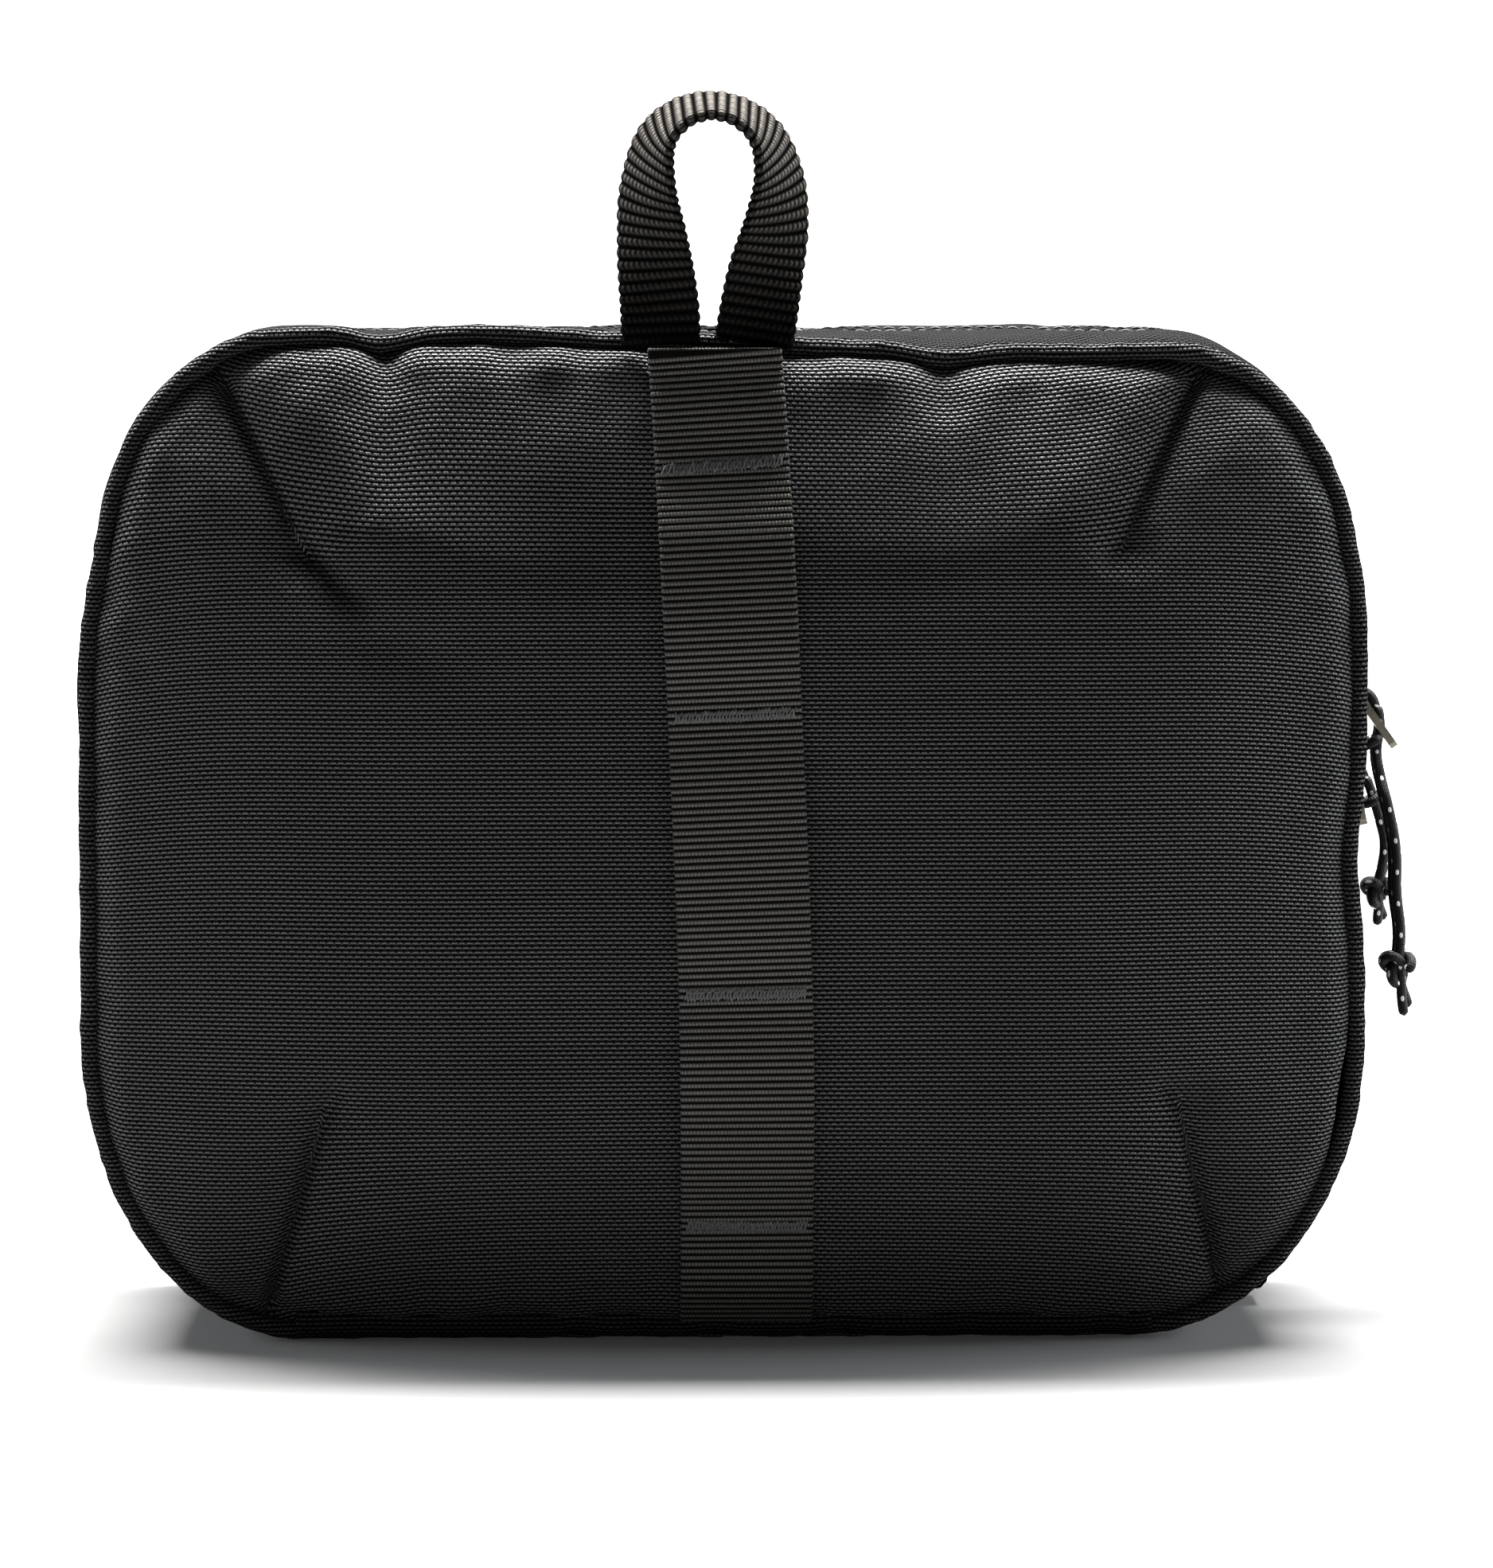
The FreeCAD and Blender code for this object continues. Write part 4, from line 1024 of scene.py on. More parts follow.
def make_bands():
    front_profile = ((-28.9, -3.4), (-28.2, -1.6), (-25.8, -0.2), (-20.0, 0.3), (-8.0, 0.3), (4.0, 0.1),
                     (SLOT_FRONT_Y - 2.6, 0.0), (SLOT_FRONT_Y - 0.4, -0.1), (SLOT_FRONT_Y, -0.75),
                     (SLOT_FRONT_Y - 1.4, -1.2))
    rear_profile = ((SLOT_REAR_Y + 1.4, -1.2), (SLOT_REAR_Y, -0.75), (SLOT_REAR_Y + 0.4, -0.1),
                    (SLOT_REAR_Y + 2.6, 0.0), (30.0, 0.1), (33.0, -0.6), (34.0, -3.2))
    gusset("front_gusset_cloth", front_profile, SEAM_Y + 2, 13.0, 0.5, 41, "front_half", "front_gusset")
    gusset("rear_gusset_cloth", rear_profile, REAR_SEAM_Y - 2, 6.0, 0.3, 43, "rear_half", "rear_gusset")
    rim("front_rim", SEAM_Y, 51, "front_half", "front_piping")
    rim("rear_rim", REAR_SEAM_Y, 53, "rear_half", "rear_piping")
    for half, y_range in TAPE_SPANS:
        strip(half, "tape", y_range, 1.2, 0.5, "zip_tape", f"{half}_zip_tape")
    for half, y_range in SIDE_LINING_SPANS:
        strip(half, "side_lining", y_range, 2.2, 0.4, "lining_fabric", f"{half}_gusset_lining")
    bound_seam("front_bound_seam", SEAM_Y + 2.2, 1, "front_half", "front_seam_binding")
    bound_seam("rear_bound_seam", REAR_SEAM_Y - 2.2, -1, "rear_half", "rear_seam_binding")


def make_base():
    """The strip under the bag, where the halves hinge, and its lining. Its long edges turn over both rims."""
    right, left = OUTLINE.s_at_base(BASE_ENDS[1]), OUTLINE.s_at_base(BASE_ENDS[0])
    s = np.concatenate([np.arange(left, OUTLINE.length, 1.5), np.arange(0, right, 1.5)])
    profile = smooth_curve((
        (SEAM_Y - 1.9, -6.2), (SEAM_Y - 3.2, -4.6), (SEAM_Y - 3.0, -2.2), (SEAM_Y - 1.4, -0.6),
        (SEAM_Y + 2, -0.12), (SEAM_Y + 12, -0.1), (-4, -0.1), (ZIP_Y - 8, -0.1), (ZIP_Y, -0.1),
        (ZIP_Y + 8, -0.1), (REAR_SEAM_Y - 3, -0.12), (REAR_SEAM_Y + 1.0, -0.6), (REAR_SEAM_Y + 2.6, -2.2),
        (REAR_SEAM_Y + 2.7, -4.4), (REAR_SEAM_Y + 1.6, -6.0),
    ), 0.9)
    way = np.where(s > OUTLINE.length / 2, s - OUTLINE.length, s)
    y = profile[:, 0]
    edge_on = np.exp(-(((y - SEAM_Y) / 6) ** 2)) + np.exp(-(((y - REAR_SEAM_Y) / 6) ** 2))
    ripple = 0.35 * waves(way[:, None] + 0 * y, 0 * way[:, None] + y, 15, 61) * edge_on[None, :]
    outer = band(s, profile, np.minimum(ripple, 0))
    inner = band(s, profile, np.minimum(ripple, 0) - 0.9)
    builder = Builder()
    builder.add_shell(outer, inner, band_uv(way, profile))
    cloth = builder.build("base_strip", MATERIALS["base"])
    lining = Builder()
    flat = smooth_curve(((SEAM_Y + 4, -1.9), (ZIP_Y, -1.9), (REAR_SEAM_Y - 3, -1.9)), 1.0)
    lining.add_shell(band(s, flat), band(s, flat, -0.4), band_uv(way, flat))
    inside = lining.build("base_lining", MATERIALS["lining"])
    for piece, slot, nodes in ((cloth, "shell_fabric", ("base_panel_front", "base_panel_rear")),
                               (inside, "lining_fabric", ())):
        if nodes:
            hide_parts(*nodes)
        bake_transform(piece)


# Zipper


def coil_teeth(builder, line, out, way, phase, pitch=1.35):
    """Turns of a nylon coil along a line. out points off the tape, and way across to the other coil."""
    along = lengths_along(line)
    shape = (
        (-1.9, -0.75), (-1.2, -0.95), (-0.1, -0.85), (0.42, -0.35), (0.5, 0.1), (0.2, 0.75), (-0.8, 0.95),
        (-1.9, 0.7),
    )
    for place in np.arange(pitch * (0.5 + phase), along[-1] - pitch, pitch):
        centre, up, over = (
            np.array([np.interp(place, along, rows[:, i]) for i in range(3)]) for rows in (line, out, way)
        )
        forward = np.cross(up, over)
        loop = [
            centre + over * a + up * b + forward * (0.16 * (i / 7 - 0.5)) for i, (a, b) in enumerate(shape)
        ]
        builder.add_tube(tube_rings(np.array(loop), 0.36, 6, first=forward), place)


def make_zipper():
    """Two rows of coil that mesh along the slot."""
    s = np.arange(S_RIGHT + 1, S_LEFT - 1, 1.0)
    places, normals = OUTLINE.at(s, 1.3)
    line = np.stack([places[:, 0], np.full(len(s), ZIP_Y), places[:, 1]], axis=1)
    out = np.stack([normals[:, 0], np.zeros(len(s)), normals[:, 1]], axis=1)
    for half, side, phase in (("front", 1, 0.0), ("rear", -1, 0.5)):
        over = np.tile((0.0, side, 0.0), (len(s), 1))
        builder = Builder()
        coil_teeth(builder, line, out, over, phase)
        core = line - over * 1.7
        builder.add_tube(tube_rings(core, 0.5, 8, first=out[0]))
        piece = builder.build(f"{half}_coil", MATERIALS["coil"])
        finish_piece(piece, f"{half}_half", "zip_coil", f"{half}_zip_coil")


# Webbing


def ribbon(builder, line, across, width, thickness, rib, depth, yarn, beads, sides=26, skew=0.0):
    """Ribbed webbing along a line. across holds the direction of its width at each point of the line.

    skew is how far the ribs run on along the strap for each millimetre across it.
    """
    along = lengths_along(line)
    tangents = unit(np.gradient(line, axis=0))
    normals = unit(np.cross(tangents, across))
    corner = thickness * 0.5
    top = np.linspace(-width / 2 + corner * 0.6, width / 2 - corner * 0.6, sides)
    turn = np.linspace(math.pi / 2, -math.pi / 2, 7)[1:-1]
    right = np.stack([width / 2 - corner * 0.6 + corner * 0.6 * np.cos(turn), corner * np.sin(turn)], axis=1)
    outline = np.concatenate([
        np.stack([top, np.full(sides, corner)], axis=1), right,
        np.stack([top[::-1], np.full(sides, -corner)], axis=1), -right,
    ])
    place = along[:, None] + np.reshape(skew, (-1, 1)) * outline[None, :, 0]
    ridge = np.abs(np.sin(math.pi * place / rib)) ** 0.8
    row = np.floor(place / rib)
    bead = np.abs(np.sin(math.pi * (outline[None, :, 0] / yarn + 0.5 * row)))
    shrink = 1 - depth * (1 - ridge) - beads * (1 - bead) * ridge
    edge = 1 - 0.9 * depth * (1 - ridge) * thickness / width
    points = (
        line[:, None] + across[:, None] * (outline[None, :, 0] * edge)[..., None]
        + normals[:, None] * (outline[None, :, 1] * shrink)[..., None]
    )
    index = builder.add_points(points).reshape(points.shape[:2])
    wrapped = np.concatenate([index, index[:, :1]], axis=1)
    round_ = lengths_along(np.concatenate([outline, outline[:1]]))
    looped = np.concatenate([place, place[:, :1]], axis=1)
    uv = np.stack([looped, np.broadcast_to(round_, looped.shape)], axis=-1)
    builder.add_quads(wrapped, uv)
    for ring, turn_ in ((0, 1), (-1, -1)):
        flat = index[ring][::turn_]
        builder.add_polygon(flat, np.zeros((len(flat), 2)) + (along[ring], 0))


def on_surface(tree, x, z, y_start, direction):
    hit = tree.ray_cast(Vector((x, y_start, z)) * MM, Vector((0, direction, 0)))[0]
    return None if hit is None else hit[1] / MM


def make_webbing():
    """The ribbed webbing up the front panel, tacked down at four heights, with its top end folded under."""
    tree = surface_tree(bpy.data.objects["front_panel_cloth"])
    flat = smooth_curve(WEBBING_LINE, 1.0)
    rows = []
    for x, z in flat:
        hits = [on_surface(tree, x + off, z, FACE_Y - 30, 1) for off in (-11, 0, 11)]
        hits = [h for h in hits if h is not None]
        tack = min(abs(z - t) for t in TACK_HEIGHTS)
        lift = WEBBING_PUFF * float(smooth_step(tack, 1.5, 14)) * float(smooth_step(z, 4, 14))
        y = min(hits) if hits else SEAM_Y - 1
        over_loop = LOOP_Y - LOOP_THICKNESS / 2 - 0.2
        y = y + (min(over_loop, y) - y) * float(smooth_step(z, 166, 181))
        rows.append((x, y - WEBBING_THICKNESS * 0.5 - lift, z))
    line = np.array(rows)
    kernel = np.ones(5) / 5
    line[2:-2, 1] = np.convolve(line[:, 1], kernel, mode="valid")
    top = line[0]
    fold = [top + (0, 1.7, -2.6), top + (0, 1.35, -0.4), top + (0, 0.6, 0.12)]
    line = np.concatenate([fold, line])
    line = resample(line, WEBBING_RIB / 8)
    tangents = unit(np.gradient(line, axis=0))
    across = unit(np.cross(tangents, np.cross(np.tile((1.0, 0, 0), (len(line), 1)), tangents)))
    builder = Builder()
    ribbon(builder, line, across, WEBBING_WIDTH, WEBBING_THICKNESS, WEBBING_RIB, 0.3, WEBBING_YARN, 0.06)
    webbing = builder.build("front_webbing", MATERIALS["webbing"])
    finish_piece(webbing, "front_half", "webbing", "daisy_webbing")
    make_bar_tacks()


def make_bar_tacks():
    """Dense zigzags of thread across the webbing, one over each tack."""
    tree = surface_tree(bpy.data.objects["front_webbing"])
    builder = Builder()
    for row, height in enumerate(TACK_HEIGHTS):
        random = np.random.default_rng(70 + row)
        middle = np.interp(height, [p[1] for p in WEBBING_LINE[::-1]], [p[0] for p in WEBBING_LINE[::-1]])
        lean = (height - 90) * 0.0006
        for part, radius, drop in TACK_THREADS:
            points = []
            for i in range(TACK_TURNS + 1):
                x = middle + (i / TACK_TURNS - 0.5) * (WEBBING_WIDTH - 2.6)
                side = 1 if (i + part) % 2 else -1
                x += side * 0.22
                z = height + side * (1.15 + random.uniform(-0.25, 0.2)) + (x - middle) * (0.03 + lean)
                y = on_surface(tree, x, z, FACE_Y - 30, 1)
                points.append((x, (y if y is not None else FACE_Y) - 0.12 + drop, z))
            builder.add_tube(tube_rings(resample(np.array(points), 0.45), radius, 6, first=(0, -1, 0)))
    finish_piece(builder.build("bar_tacks", MATERIALS["thread"]), "front_half", "thread", "daisy_bar_tacks")


def make_loop():
    """The hanging loop: a ribbed strap that faces forward at its feet and turns nearly edge-on at its top."""
    line = smooth_curve(LOOP_LINE, LOOP_RIB / 8)
    line = np.stack([line[:, 0], np.full(len(line), LOOP_Y), line[:, 1]], axis=1)
    along = lengths_along(line)
    share = along / along[-1]
    apex = 1 - np.abs(2 * share - 1)
    twist = np.radians(LOOP_TWIST) * smooth_step(apex, 0.02, 1.02) ** 0.75
    tangents = unit(np.gradient(line, axis=0))
    inward = unit(np.cross(tangents, np.tile((0.0, -1.0, 0.0), (len(line), 1))))
    if inward[len(line) // 2][2] > 0:
        inward = -inward
    across = inward * np.cos(twist)[:, None] + np.array((0, -1.0, 0)) * np.sin(twist)[:, None]
    line[:, 1] += 1.2 * np.sin(share * math.pi)
    builder = Builder()
    lean = LOOP_RIB_LEAN * (smooth_step(share, 0.08, 0.3) - smooth_step(share, 0.36, 0.5)
                            - smooth_step(share, 0.5, 0.64) + smooth_step(share, 0.7, 0.92))
    ribbon(builder, line, across, LOOP_WIDTH, LOOP_THICKNESS, LOOP_RIB, 0.32, LOOP_YARN, 0.16, 30, lean)
    piece = builder.build("loop_strap", MATERIALS["loop"])
    finish_piece(piece, "hang_loop", "webbing", "hang_loop", "hang_loop_anchor")


def make_end_tabs():
    """Folded webbing tabs over the zipper's two ends."""
    for side, name in ((-1, "zip_end_tab_left"), (1, "zip_end_tab_right")):
        low, high = box_mm(name)
        inner, outer = (low[0], high[0]) if side > 0 else (high[0], low[0])
        rise = 3.0 if side > 0 else 0.6
        y = (low[1] + high[1]) / 2
        x0 = inner - side * 4
        path = [(x0, y, 0.9), (outer - side * 4, y, 0.9 + rise * 0.8), (outer - side * 0.9, y, 1.1 + rise),
                (outer - side * 0.2, y, 2.0 + rise), (outer - side * 0.9, y, 2.9 + rise),
                (outer - side * 4, y, 3.0 + rise * 0.8), (x0 + side * 6, y, 2.7 + rise * 0.1)]
        line = smooth_curve(path, LOOP_RIB / 8)
        builder = Builder()
        across = np.tile((0.0, 1.0, 0.0), (len(line), 1))
        ribbon(builder, line, across, high[1] - low[1], 1.5, LOOP_RIB, 0.28, LOOP_YARN, 0.14, 24)
        finish_piece(builder.build(f"{name}_strap", MATERIALS["loop"]), "front_half", "webbing", name)


# Pulls


def cord_place(which, out, down):
    """A point of a pull cord: it drops in a plane that tilts away from the other pull."""
    pivot = joint_mm(f"{which}_pull_swing")
    side = CORD_SIDE[which]
    tilt = math.tan(math.radians(CORD_TILT)) * (down - CORD_TILT_START)
    return pivot + (out, side * (CORD_SIDE_SHIFT + tilt), -down)


def spline_points(points):
    """Points along one smooth NURBS spline with the given control points."""
    curve = bpy.data.curves.new("route", "CURVE")
    curve.dimensions = "3D"
    spline = curve.splines.new("NURBS")
    spline.points.add(len(points) - 1)
    for slot, point in zip(spline.points, points):
        slot.co = (*(np.array(point) * MM), 1)
    spline.order_u = 3
    spline.use_endpoint_u = True
    curve.resolution_u = 16
    carrier = bpy.data.objects.new("route", curve)
    bpy.context.scene.collection.objects.link(carrier)
    bpy.context.view_layer.update()
    mesh = bpy.data.meshes.new_from_object(carrier)
    line = np.array([v.co[:] for v in mesh.vertices]) / MM
    bpy.data.objects.remove(carrier)
    bpy.data.curves.remove(curve)
    bpy.data.meshes.remove(mesh)
    return line


def overhand(centre, size, lift, seed):
    """The middle line of an overhand knot, pulled tight."""
    t = np.linspace(0.35, TAU - 0.35, 90) + seed
    knot = (np.sin(t) + 2 * np.sin(2 * t), -1.7 * np.sin(3 * t), np.cos(t) - 2 * np.cos(2 * t))
    knot = np.stack(knot, axis=1)
    return centre + knot / 3 * size * (1.1, 0.95, 1.25) + (0, lift, 0)


def make_pull(which):
    """One pull's cord: two strands that hang side by side, the loop that ties them on, and their knot."""
    body = f"pull_{which}"
    side = CORD_SIDE[which]
    line = resample(spline_points([cord_place(which, out, down) for out, down in CORD_ROUTES[which]]), 0.5)
    drop = joint_mm(f"{which}_pull_swing")[2] - line[:, 2]
    line[:, 1] += PLATE_CLEARANCE * (1 - smooth_step(drop, 12.5, 22)) if which == "upper" else 0
    share = lengths_along(line) / lengths_along(line)[-1]
    turn = side * (0.08 + 0.2 * np.sin(share * 3.0) ** 2) + 0.9 * smooth_step(share, 0.86, 1)
    builder = Builder()
    for hand in (-1, 1):
        offset = np.stack([np.sin(turn), np.cos(turn), 0 * turn], axis=1) * hand * STRAND_GAP
        strand = line + offset
        if hand > 0:
            strand = strand[: int(len(strand) * 0.98)]
        builder.add_tube(tube_rings(strand, STRAND_RADIUS, 14), hand * 1.6 + 3)
    strands = builder.build(f"{which}_cord_strands", MATERIALS["cord"])
    finish_piece(strands, body, "pull_cord", f"pull_cord_{which}")

    knot_centre = cord_place(which, *KNOT_PLACES[which])
    knot = Builder()
    for lift, seed in ((-0.95, 0.0), (0.95, 0.22)):
        tied = overhand(knot_centre, KNOT_SIZE[which], lift, seed)
        knot.add_tube(tube_rings(tied, STRAND_RADIUS * 0.97, 12), seed * 9)
    knot = knot.build(f"{which}_cord_knot", MATERIALS["cord"])
    finish_piece(knot, body, "pull_cord", f"pull_knot_{which}")

    hitch = make_hitch(which, line)
    finish_piece(hitch, body, "pull_cord")


def make_hitch(which, line):
    """The strands' way in from the metal pull's window, and the turn that locks them together."""
    pivot = joint_mm(f"{which}_pull_swing")
    start = line[0]
    builder = Builder()
    for hand in (-1, 1):
        wide = np.array((0, hand * STRAND_GAP, 0))
        inner = [pivot + (x, start[1] - pivot[1], z) + wide for x, z in HITCH_PATHS[which][:-1]]
        inner = [start + wide - (0, 0, 0.8), *inner]
        builder.add_tube(tube_rings(smooth_curve(inner, 0.5), STRAND_RADIUS, 12), hand * 2 + 6)
    x, z = HITCH_PATHS[which][-1]
    turn = np.linspace(0, TAU, 30)[:-1]
    down = np.interp(-z, pivot[2] - line[:, 2], np.arange(len(line)))
    centre = line[int(down)] * (0, 1, 0) + (pivot[0] + x, 0, pivot[2] + z)
    ring = centre + np.stack([np.cos(turn) * 1.55, np.sin(turn) * 2.6, 0.9 * np.cos(turn)], axis=1)
    ring = np.concatenate([ring, ring[:2]])
    builder.add_tube(tube_rings(ring, STRAND_RADIUS * 0.95, 12, first=(0, 0, 1), rounded_ends=False))
    return builder.build(f"{which}_cord_hitch", MATERIALS["cord"])


# Inside


def net(name, y, low, high, bulge, body, node, pitch=4.3):
    """A knitted mesh panel: hexagonal holes in a thin sheet, clipped to the outline."""
    s = np.linspace(0, OUTLINE.length, 600, endpoint=False)
    rim_line, _ = OUTLINE.at(s, 3.2)
    angles = np.arctan2(rim_line[:, 1] - HEIGHT / 2, rim_line[:, 0])
    order = np.argsort(angles)
    reach = np.hypot(rim_line[:, 0], rim_line[:, 1] - HEIGHT / 2)[order]
    angles = angles[order]
    side = pitch / math.sqrt(3)
    corners = np.radians(np.arange(6) * 60 + 30)
    builder = Builder()
    rows = int((high - low) / (side * 1.5))
    columns = int(WIDTH / pitch) + 1
    half = 0.25

    def lifted(points):
        x, z = points[:, 0], points[:, 1]
        t = np.clip((z - low) / (high - low), 0, 1)
        sag = bulge * np.sin(t * math.pi * 0.75) * np.cos(np.clip(x / WIDTH, -0.5, 0.5) * math.pi) ** 0.6
        return np.stack([x, y + sag, z], axis=1)

    for row in range(rows + 1):
        z = low + side * (1 + row * 1.5)
        for column in range(-columns // 2, columns // 2 + 1):
            x = (column + 0.5 * (row % 2)) * pitch
            angle = math.atan2(z - HEIGHT / 2, x)
            if math.hypot(x, z - HEIGHT / 2) > np.interp(angle, angles, reach, period=TAU) or z + side > high:
                continue
            hexagon = side * np.stack([np.cos(corners), np.sin(corners)], axis=1)
            outer, inner = (lifted((x, z) + hexagon * size) for size in (1.0, 0.66))
            rings = []
            for points, shift in ((outer, -half), (inner, -half), (inner, half), (outer, half)):
                rings.append(builder.add_points(points + (0, shift, 0)))
            rings.append(rings[0])
            index = np.array(rings)
            index = np.concatenate([index, index[:, :1]], axis=1)
            uv = np.zeros((*index.shape, 2)) + (x, z)
            builder.add_quads(index, uv)
    return finish_piece(builder.build(name, MATERIALS["mesh"], smooth=False), body, "mesh_fabric", node)


def side_reach(z, inset):
    """Half the outline's width at that height."""
    s = np.linspace(0, OUTLINE.length / 2, 2000)
    places, _ = OUTLINE.at(s, inset)
    upper = places[:, 0] > WIDTH / 6
    return float(np.interp(z, places[upper, 1], places[upper, 0]))


def gathered_strip(name, y, low, high, half, thickness, material, body, slot, node, wave=0.0):
    """A straight tape across the inside of the bag, with a slight wave along it."""
    x = np.arange(-half, half, 1.2)
    z = np.linspace(low, high, 7)
    gx, gz = np.meshgrid(x, z, indexing="ij")
    shift = wave * waves(gx, gz * 0, 9, 81)
    front = np.stack([gx, y + shift, gz], axis=-1)
    back = np.stack([gx, y + thickness + shift, gz], axis=-1)
    builder = Builder()
    builder.add_shell(front, back, np.stack([gx, gz], axis=-1))
    return finish_piece(builder.build(name, MATERIALS[material]), body, slot, node)


def make_pockets():
    low, high = box_mm("front_mesh_pocket")
    net("front_mesh", (low[1] + high[1]) / 2, 1.0, high[2], 3.0, "front_half", "front_mesh_pocket")
    low, high = box_mm("front_pocket_elastic")
    gathered_strip("pocket_elastic", low[1] + 0.2, low[2] - 1, high[2], side_reach(high[2], 3.2), 1.2, "tape",
                   "front_half", "binding_tape", "front_pocket_elastic", wave=0.35)
    for part in ("lower", "upper"):
        low, high = box_mm(f"rear_mesh_{part}")
        net(f"{part}_mesh", (low[1] + high[1]) / 2, low[2], high[2], 0.0, "rear_half", f"rear_mesh_{part}")
        low, high = box_mm(f"pocket_tape_{part}")
        reach = side_reach(POCKET_ZIP_Z, 4)
        gathered_strip(f"pocket_tape_{part}_cloth", low[1] - 0.1, low[2], high[2], reach, 0.5, "zip_tape",
                       "rear_half", "zip_tape", f"pocket_tape_{part}")
    reach = side_reach(POCKET_ZIP_Z, 6)
    x = np.arange(-reach, reach, 1.0)
    coil_y = box_mm("pocket_tape_lower")[0][1] - 0.5
    line = np.stack([x, np.full(len(x), coil_y), np.full(len(x), POCKET_ZIP_Z)], axis=1)
    out = np.tile((0.0, -1.0, 0.0), (len(x), 1))
    for part, side, phase in (("lower", 1, 0.0), ("upper", -1, 0.5)):
        over = np.tile((0.0, 0.0, side), (len(x), 1))
        builder = Builder()
        coil_teeth(builder, line, out, over, phase, pitch=1.5)
        finish_piece(builder.build(f"pocket_coil_{part}_teeth", MATERIALS["coil"]), "rear_half", "zip_coil",
                     f"pocket_coil_{part}")


def make_hook_tab():
    """The webbing tab that the inner hook hangs from: a strap folded round the swivel's bar."""
    low, high = box_mm("hook_tab")
    pivot = joint_mm("hook_tab_swing")
    turn = np.radians(np.linspace(0, 180, 9))
    bend = [(0, pivot[1] + 1.9 * math.cos(a), pivot[2] - 1.9 * math.sin(a)) for a in turn]
    path = [(0, pivot[1] + 1.9, high[2] - 0.5), *bend, (0, pivot[1] - 1.9, high[2] - 0.5)]
    line = smooth_curve(path, LOOP_RIB / 8)
    builder = Builder()
    across = np.tile((1.0, 0.0, 0.0), (len(line), 1))
    ribbon(builder, line, across, high[0] - low[0], 1.2, LOOP_RIB, 0.28, LOOP_YARN, 0.12)
    finish_piece(builder.build("hook_tab_strap", MATERIALS["loop"]), "front_half", "webbing", "hook_tab")


def dress_cad_nodes():
    """Gives the hard parts that keep their CAD shape their finish."""
    finishes = {
        "metal": ("slider_upper", "slider_lower", "pocket_slider", "pull_tab_upper", "pull_tab_lower",
                  "pocket_pull_tab"),
        "plastic": ("hook_swivel", "hook"),
    }
    for finish, nodes in finishes.items():
        for node in nodes:
            piece = frame["nodes"][node]
            piece.data.materials.clear()
            piece.data.materials.append(MATERIALS[finish])


# Stage, lights and camera


# The stage's sheets of paper: (y, z) along each, in metres, its reach to both sides, its shade and its glow
STAGE = (
    ("floor", ((-1.3, 0.0), (-0.4, 0.0), (0.4, 0.0), (0.9, 0.0)), 1.8, 0.18, 0.02),
    ("wall", ((0.9, 0.0), (1.9, 0.0), (2.4, 0.1), (2.75, 0.5), (2.9, 1.2), (2.9, 3.4)), 3.4, 0.85, 1.15),
)
WORLD_GLOW = 0.05

# Area lights: place in metres, size in metres, power in watts, colour, and the point they face
LIGHTS = (
    ("top", (0, 0.32, 1.2), (1.4, 0.3), 225, (1.0, 0.995, 0.985), (0, 0, 0.1)),
    ("left", (-1.2, 0.2, 0.35), (0.6, 0.9), 19, (0.94, 0.965, 1.0), (0, 0, 0.1)),
    ("right", (1.2, 0.2, 0.35), (0.6, 0.9), 29, (0.94, 0.965, 1.0), (0, 0, 0.1)),
    ("bounce", (0, -0.135, 0.004), (0.2, 0.02), 0.03, (1.0, 1.0, 1.0), (0, -0.05, 0.05)),
)

# Camera: what it faces and how far off it is, in metres, its angles in degrees, and the height it sees there
TARGET = Vector((0.0042, SEAM_Y * MM, 0.105))
CAMERA_DISTANCE = 1.45
CAMERA_ELEVATION = 5.7
CAMERA_AZIMUTH = -1.5
SEEN_HEIGHT = 0.294


def make_camera():
    data = bpy.data.cameras.new("camera")
    camera = bpy.data.objects.new("camera", data)
    bpy.context.scene.collection.objects.link(camera)
    azimuth, elevation = math.radians(CAMERA_AZIMUTH), math.radians(CAMERA_ELEVATION)
    level = math.cos(elevation)
    back = Vector((math.sin(azimuth) * level, -math.cos(azimuth) * level, math.sin(elevation)))
    camera.location = TARGET + back * CAMERA_DISTANCE
    camera.rotation_euler = back.to_track_quat("Z", "Y").to_euler()
    data.sensor_width = 36
    data.lens = 36 * CAMERA_DISTANCE / SEEN_HEIGHT
    data.clip_end = 50
    bpy.context.scene.camera = camera


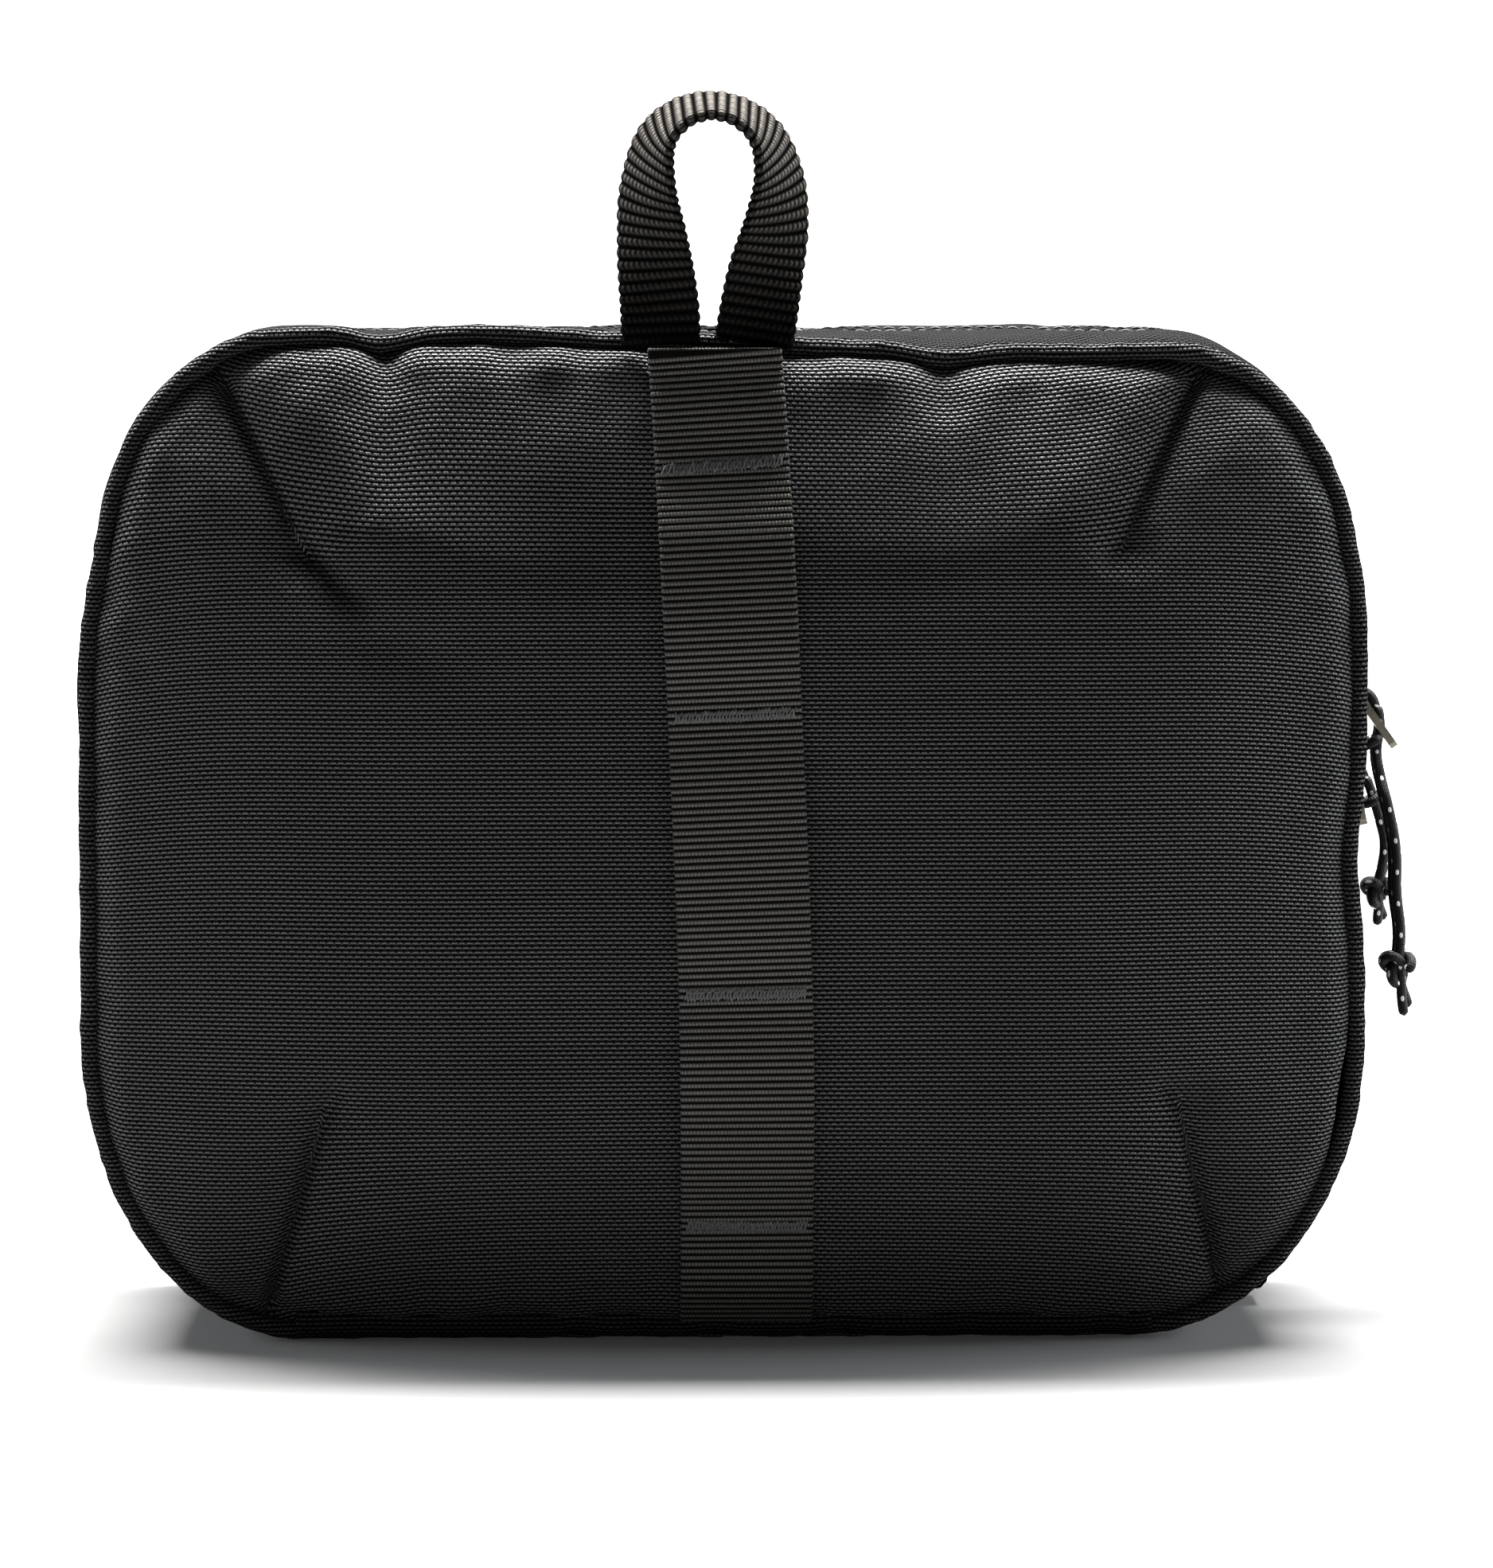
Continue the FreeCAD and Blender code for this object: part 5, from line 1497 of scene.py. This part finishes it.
def stage_sheet(name, profile, reach, shade, glow):
    """A sheet of paper across the set, along a profile of (y, z) in metres."""
    shader = Shader(name, Roughness=0.9, Specular_IOR_Level=0.0)
    grain = shader.noise(shader.object_place(), 3.0)
    colour = shader.blend(grain, (shade,) * 3, (shade * 1.03,) * 3)
    shader.put(shader.surface.inputs["Emission Color"], (1, 1, 1, 1))
    shader.put(shader.surface.inputs["Emission Strength"], glow)
    material = shader.finish(colour)
    places = (-reach, -reach / 3, 0.0, reach / 3, reach)
    points = [(x, y, z) for y, z in profile for x in places]
    width = len(places)
    faces = [
        (a * width + b, a * width + b + 1, (a + 1) * width + b + 1, (a + 1) * width + b)
        for a in range(len(profile) - 1) for b in range(width - 1)
    ]
    mesh = bpy.data.meshes.new(name)
    mesh.from_pydata(points, [], faces)
    mesh.materials.append(material)
    mesh.polygons.foreach_set("use_smooth", [True] * len(mesh.polygons))
    sheet = bpy.data.objects.new(name, mesh)
    bpy.context.scene.collection.objects.link(sheet)


def make_stage():
    """A pale floor, and a bright wall that curves up behind it."""
    for sheet in STAGE:
        stage_sheet(*sheet)


def area_light(name, place, size, power, colour, aim):
    """A soft box that the camera doesn't see."""
    data = bpy.data.lights.new(name, "AREA")
    data.shape = "RECTANGLE"
    data.size, data.size_y = size
    data.energy = power
    data.color = colour
    light = bpy.data.objects.new(name, data)
    bpy.context.scene.collection.objects.link(light)
    light.location = place
    light.rotation_euler = (Vector(place) - Vector(aim)).to_track_quat("Z", "Y").to_euler()
    light.visible_camera = False


def make_lights():
    world = bpy.data.worlds.new("studio")
    world.use_nodes = True
    background = world.node_tree.nodes["Background"]
    background.inputs["Color"].default_value = (1, 1, 1, 1)
    path = world.node_tree.nodes.new("ShaderNodeLightPath")
    strength = world.node_tree.nodes.new("ShaderNodeMath")
    strength.operation = "MAXIMUM"
    strength.inputs[1].default_value = WORLD_GLOW
    world.node_tree.links.new(path.outputs["Is Camera Ray"], strength.inputs[0])
    world.node_tree.links.new(strength.outputs[0], background.inputs["Strength"])
    bpy.context.scene.world = world
    for light in LIGHTS:
        area_light(*light)
    bpy.context.scene.view_settings.view_transform = "Standard"


make_camera()
make_panels()
make_bands()
make_base()
make_zipper()
make_stitches()
make_webbing()
make_loop()
make_end_tabs()
make_pull("upper")
make_pull("lower")
make_pockets()
make_hook_tab()
dress_cad_nodes()
make_stage()
make_lights()
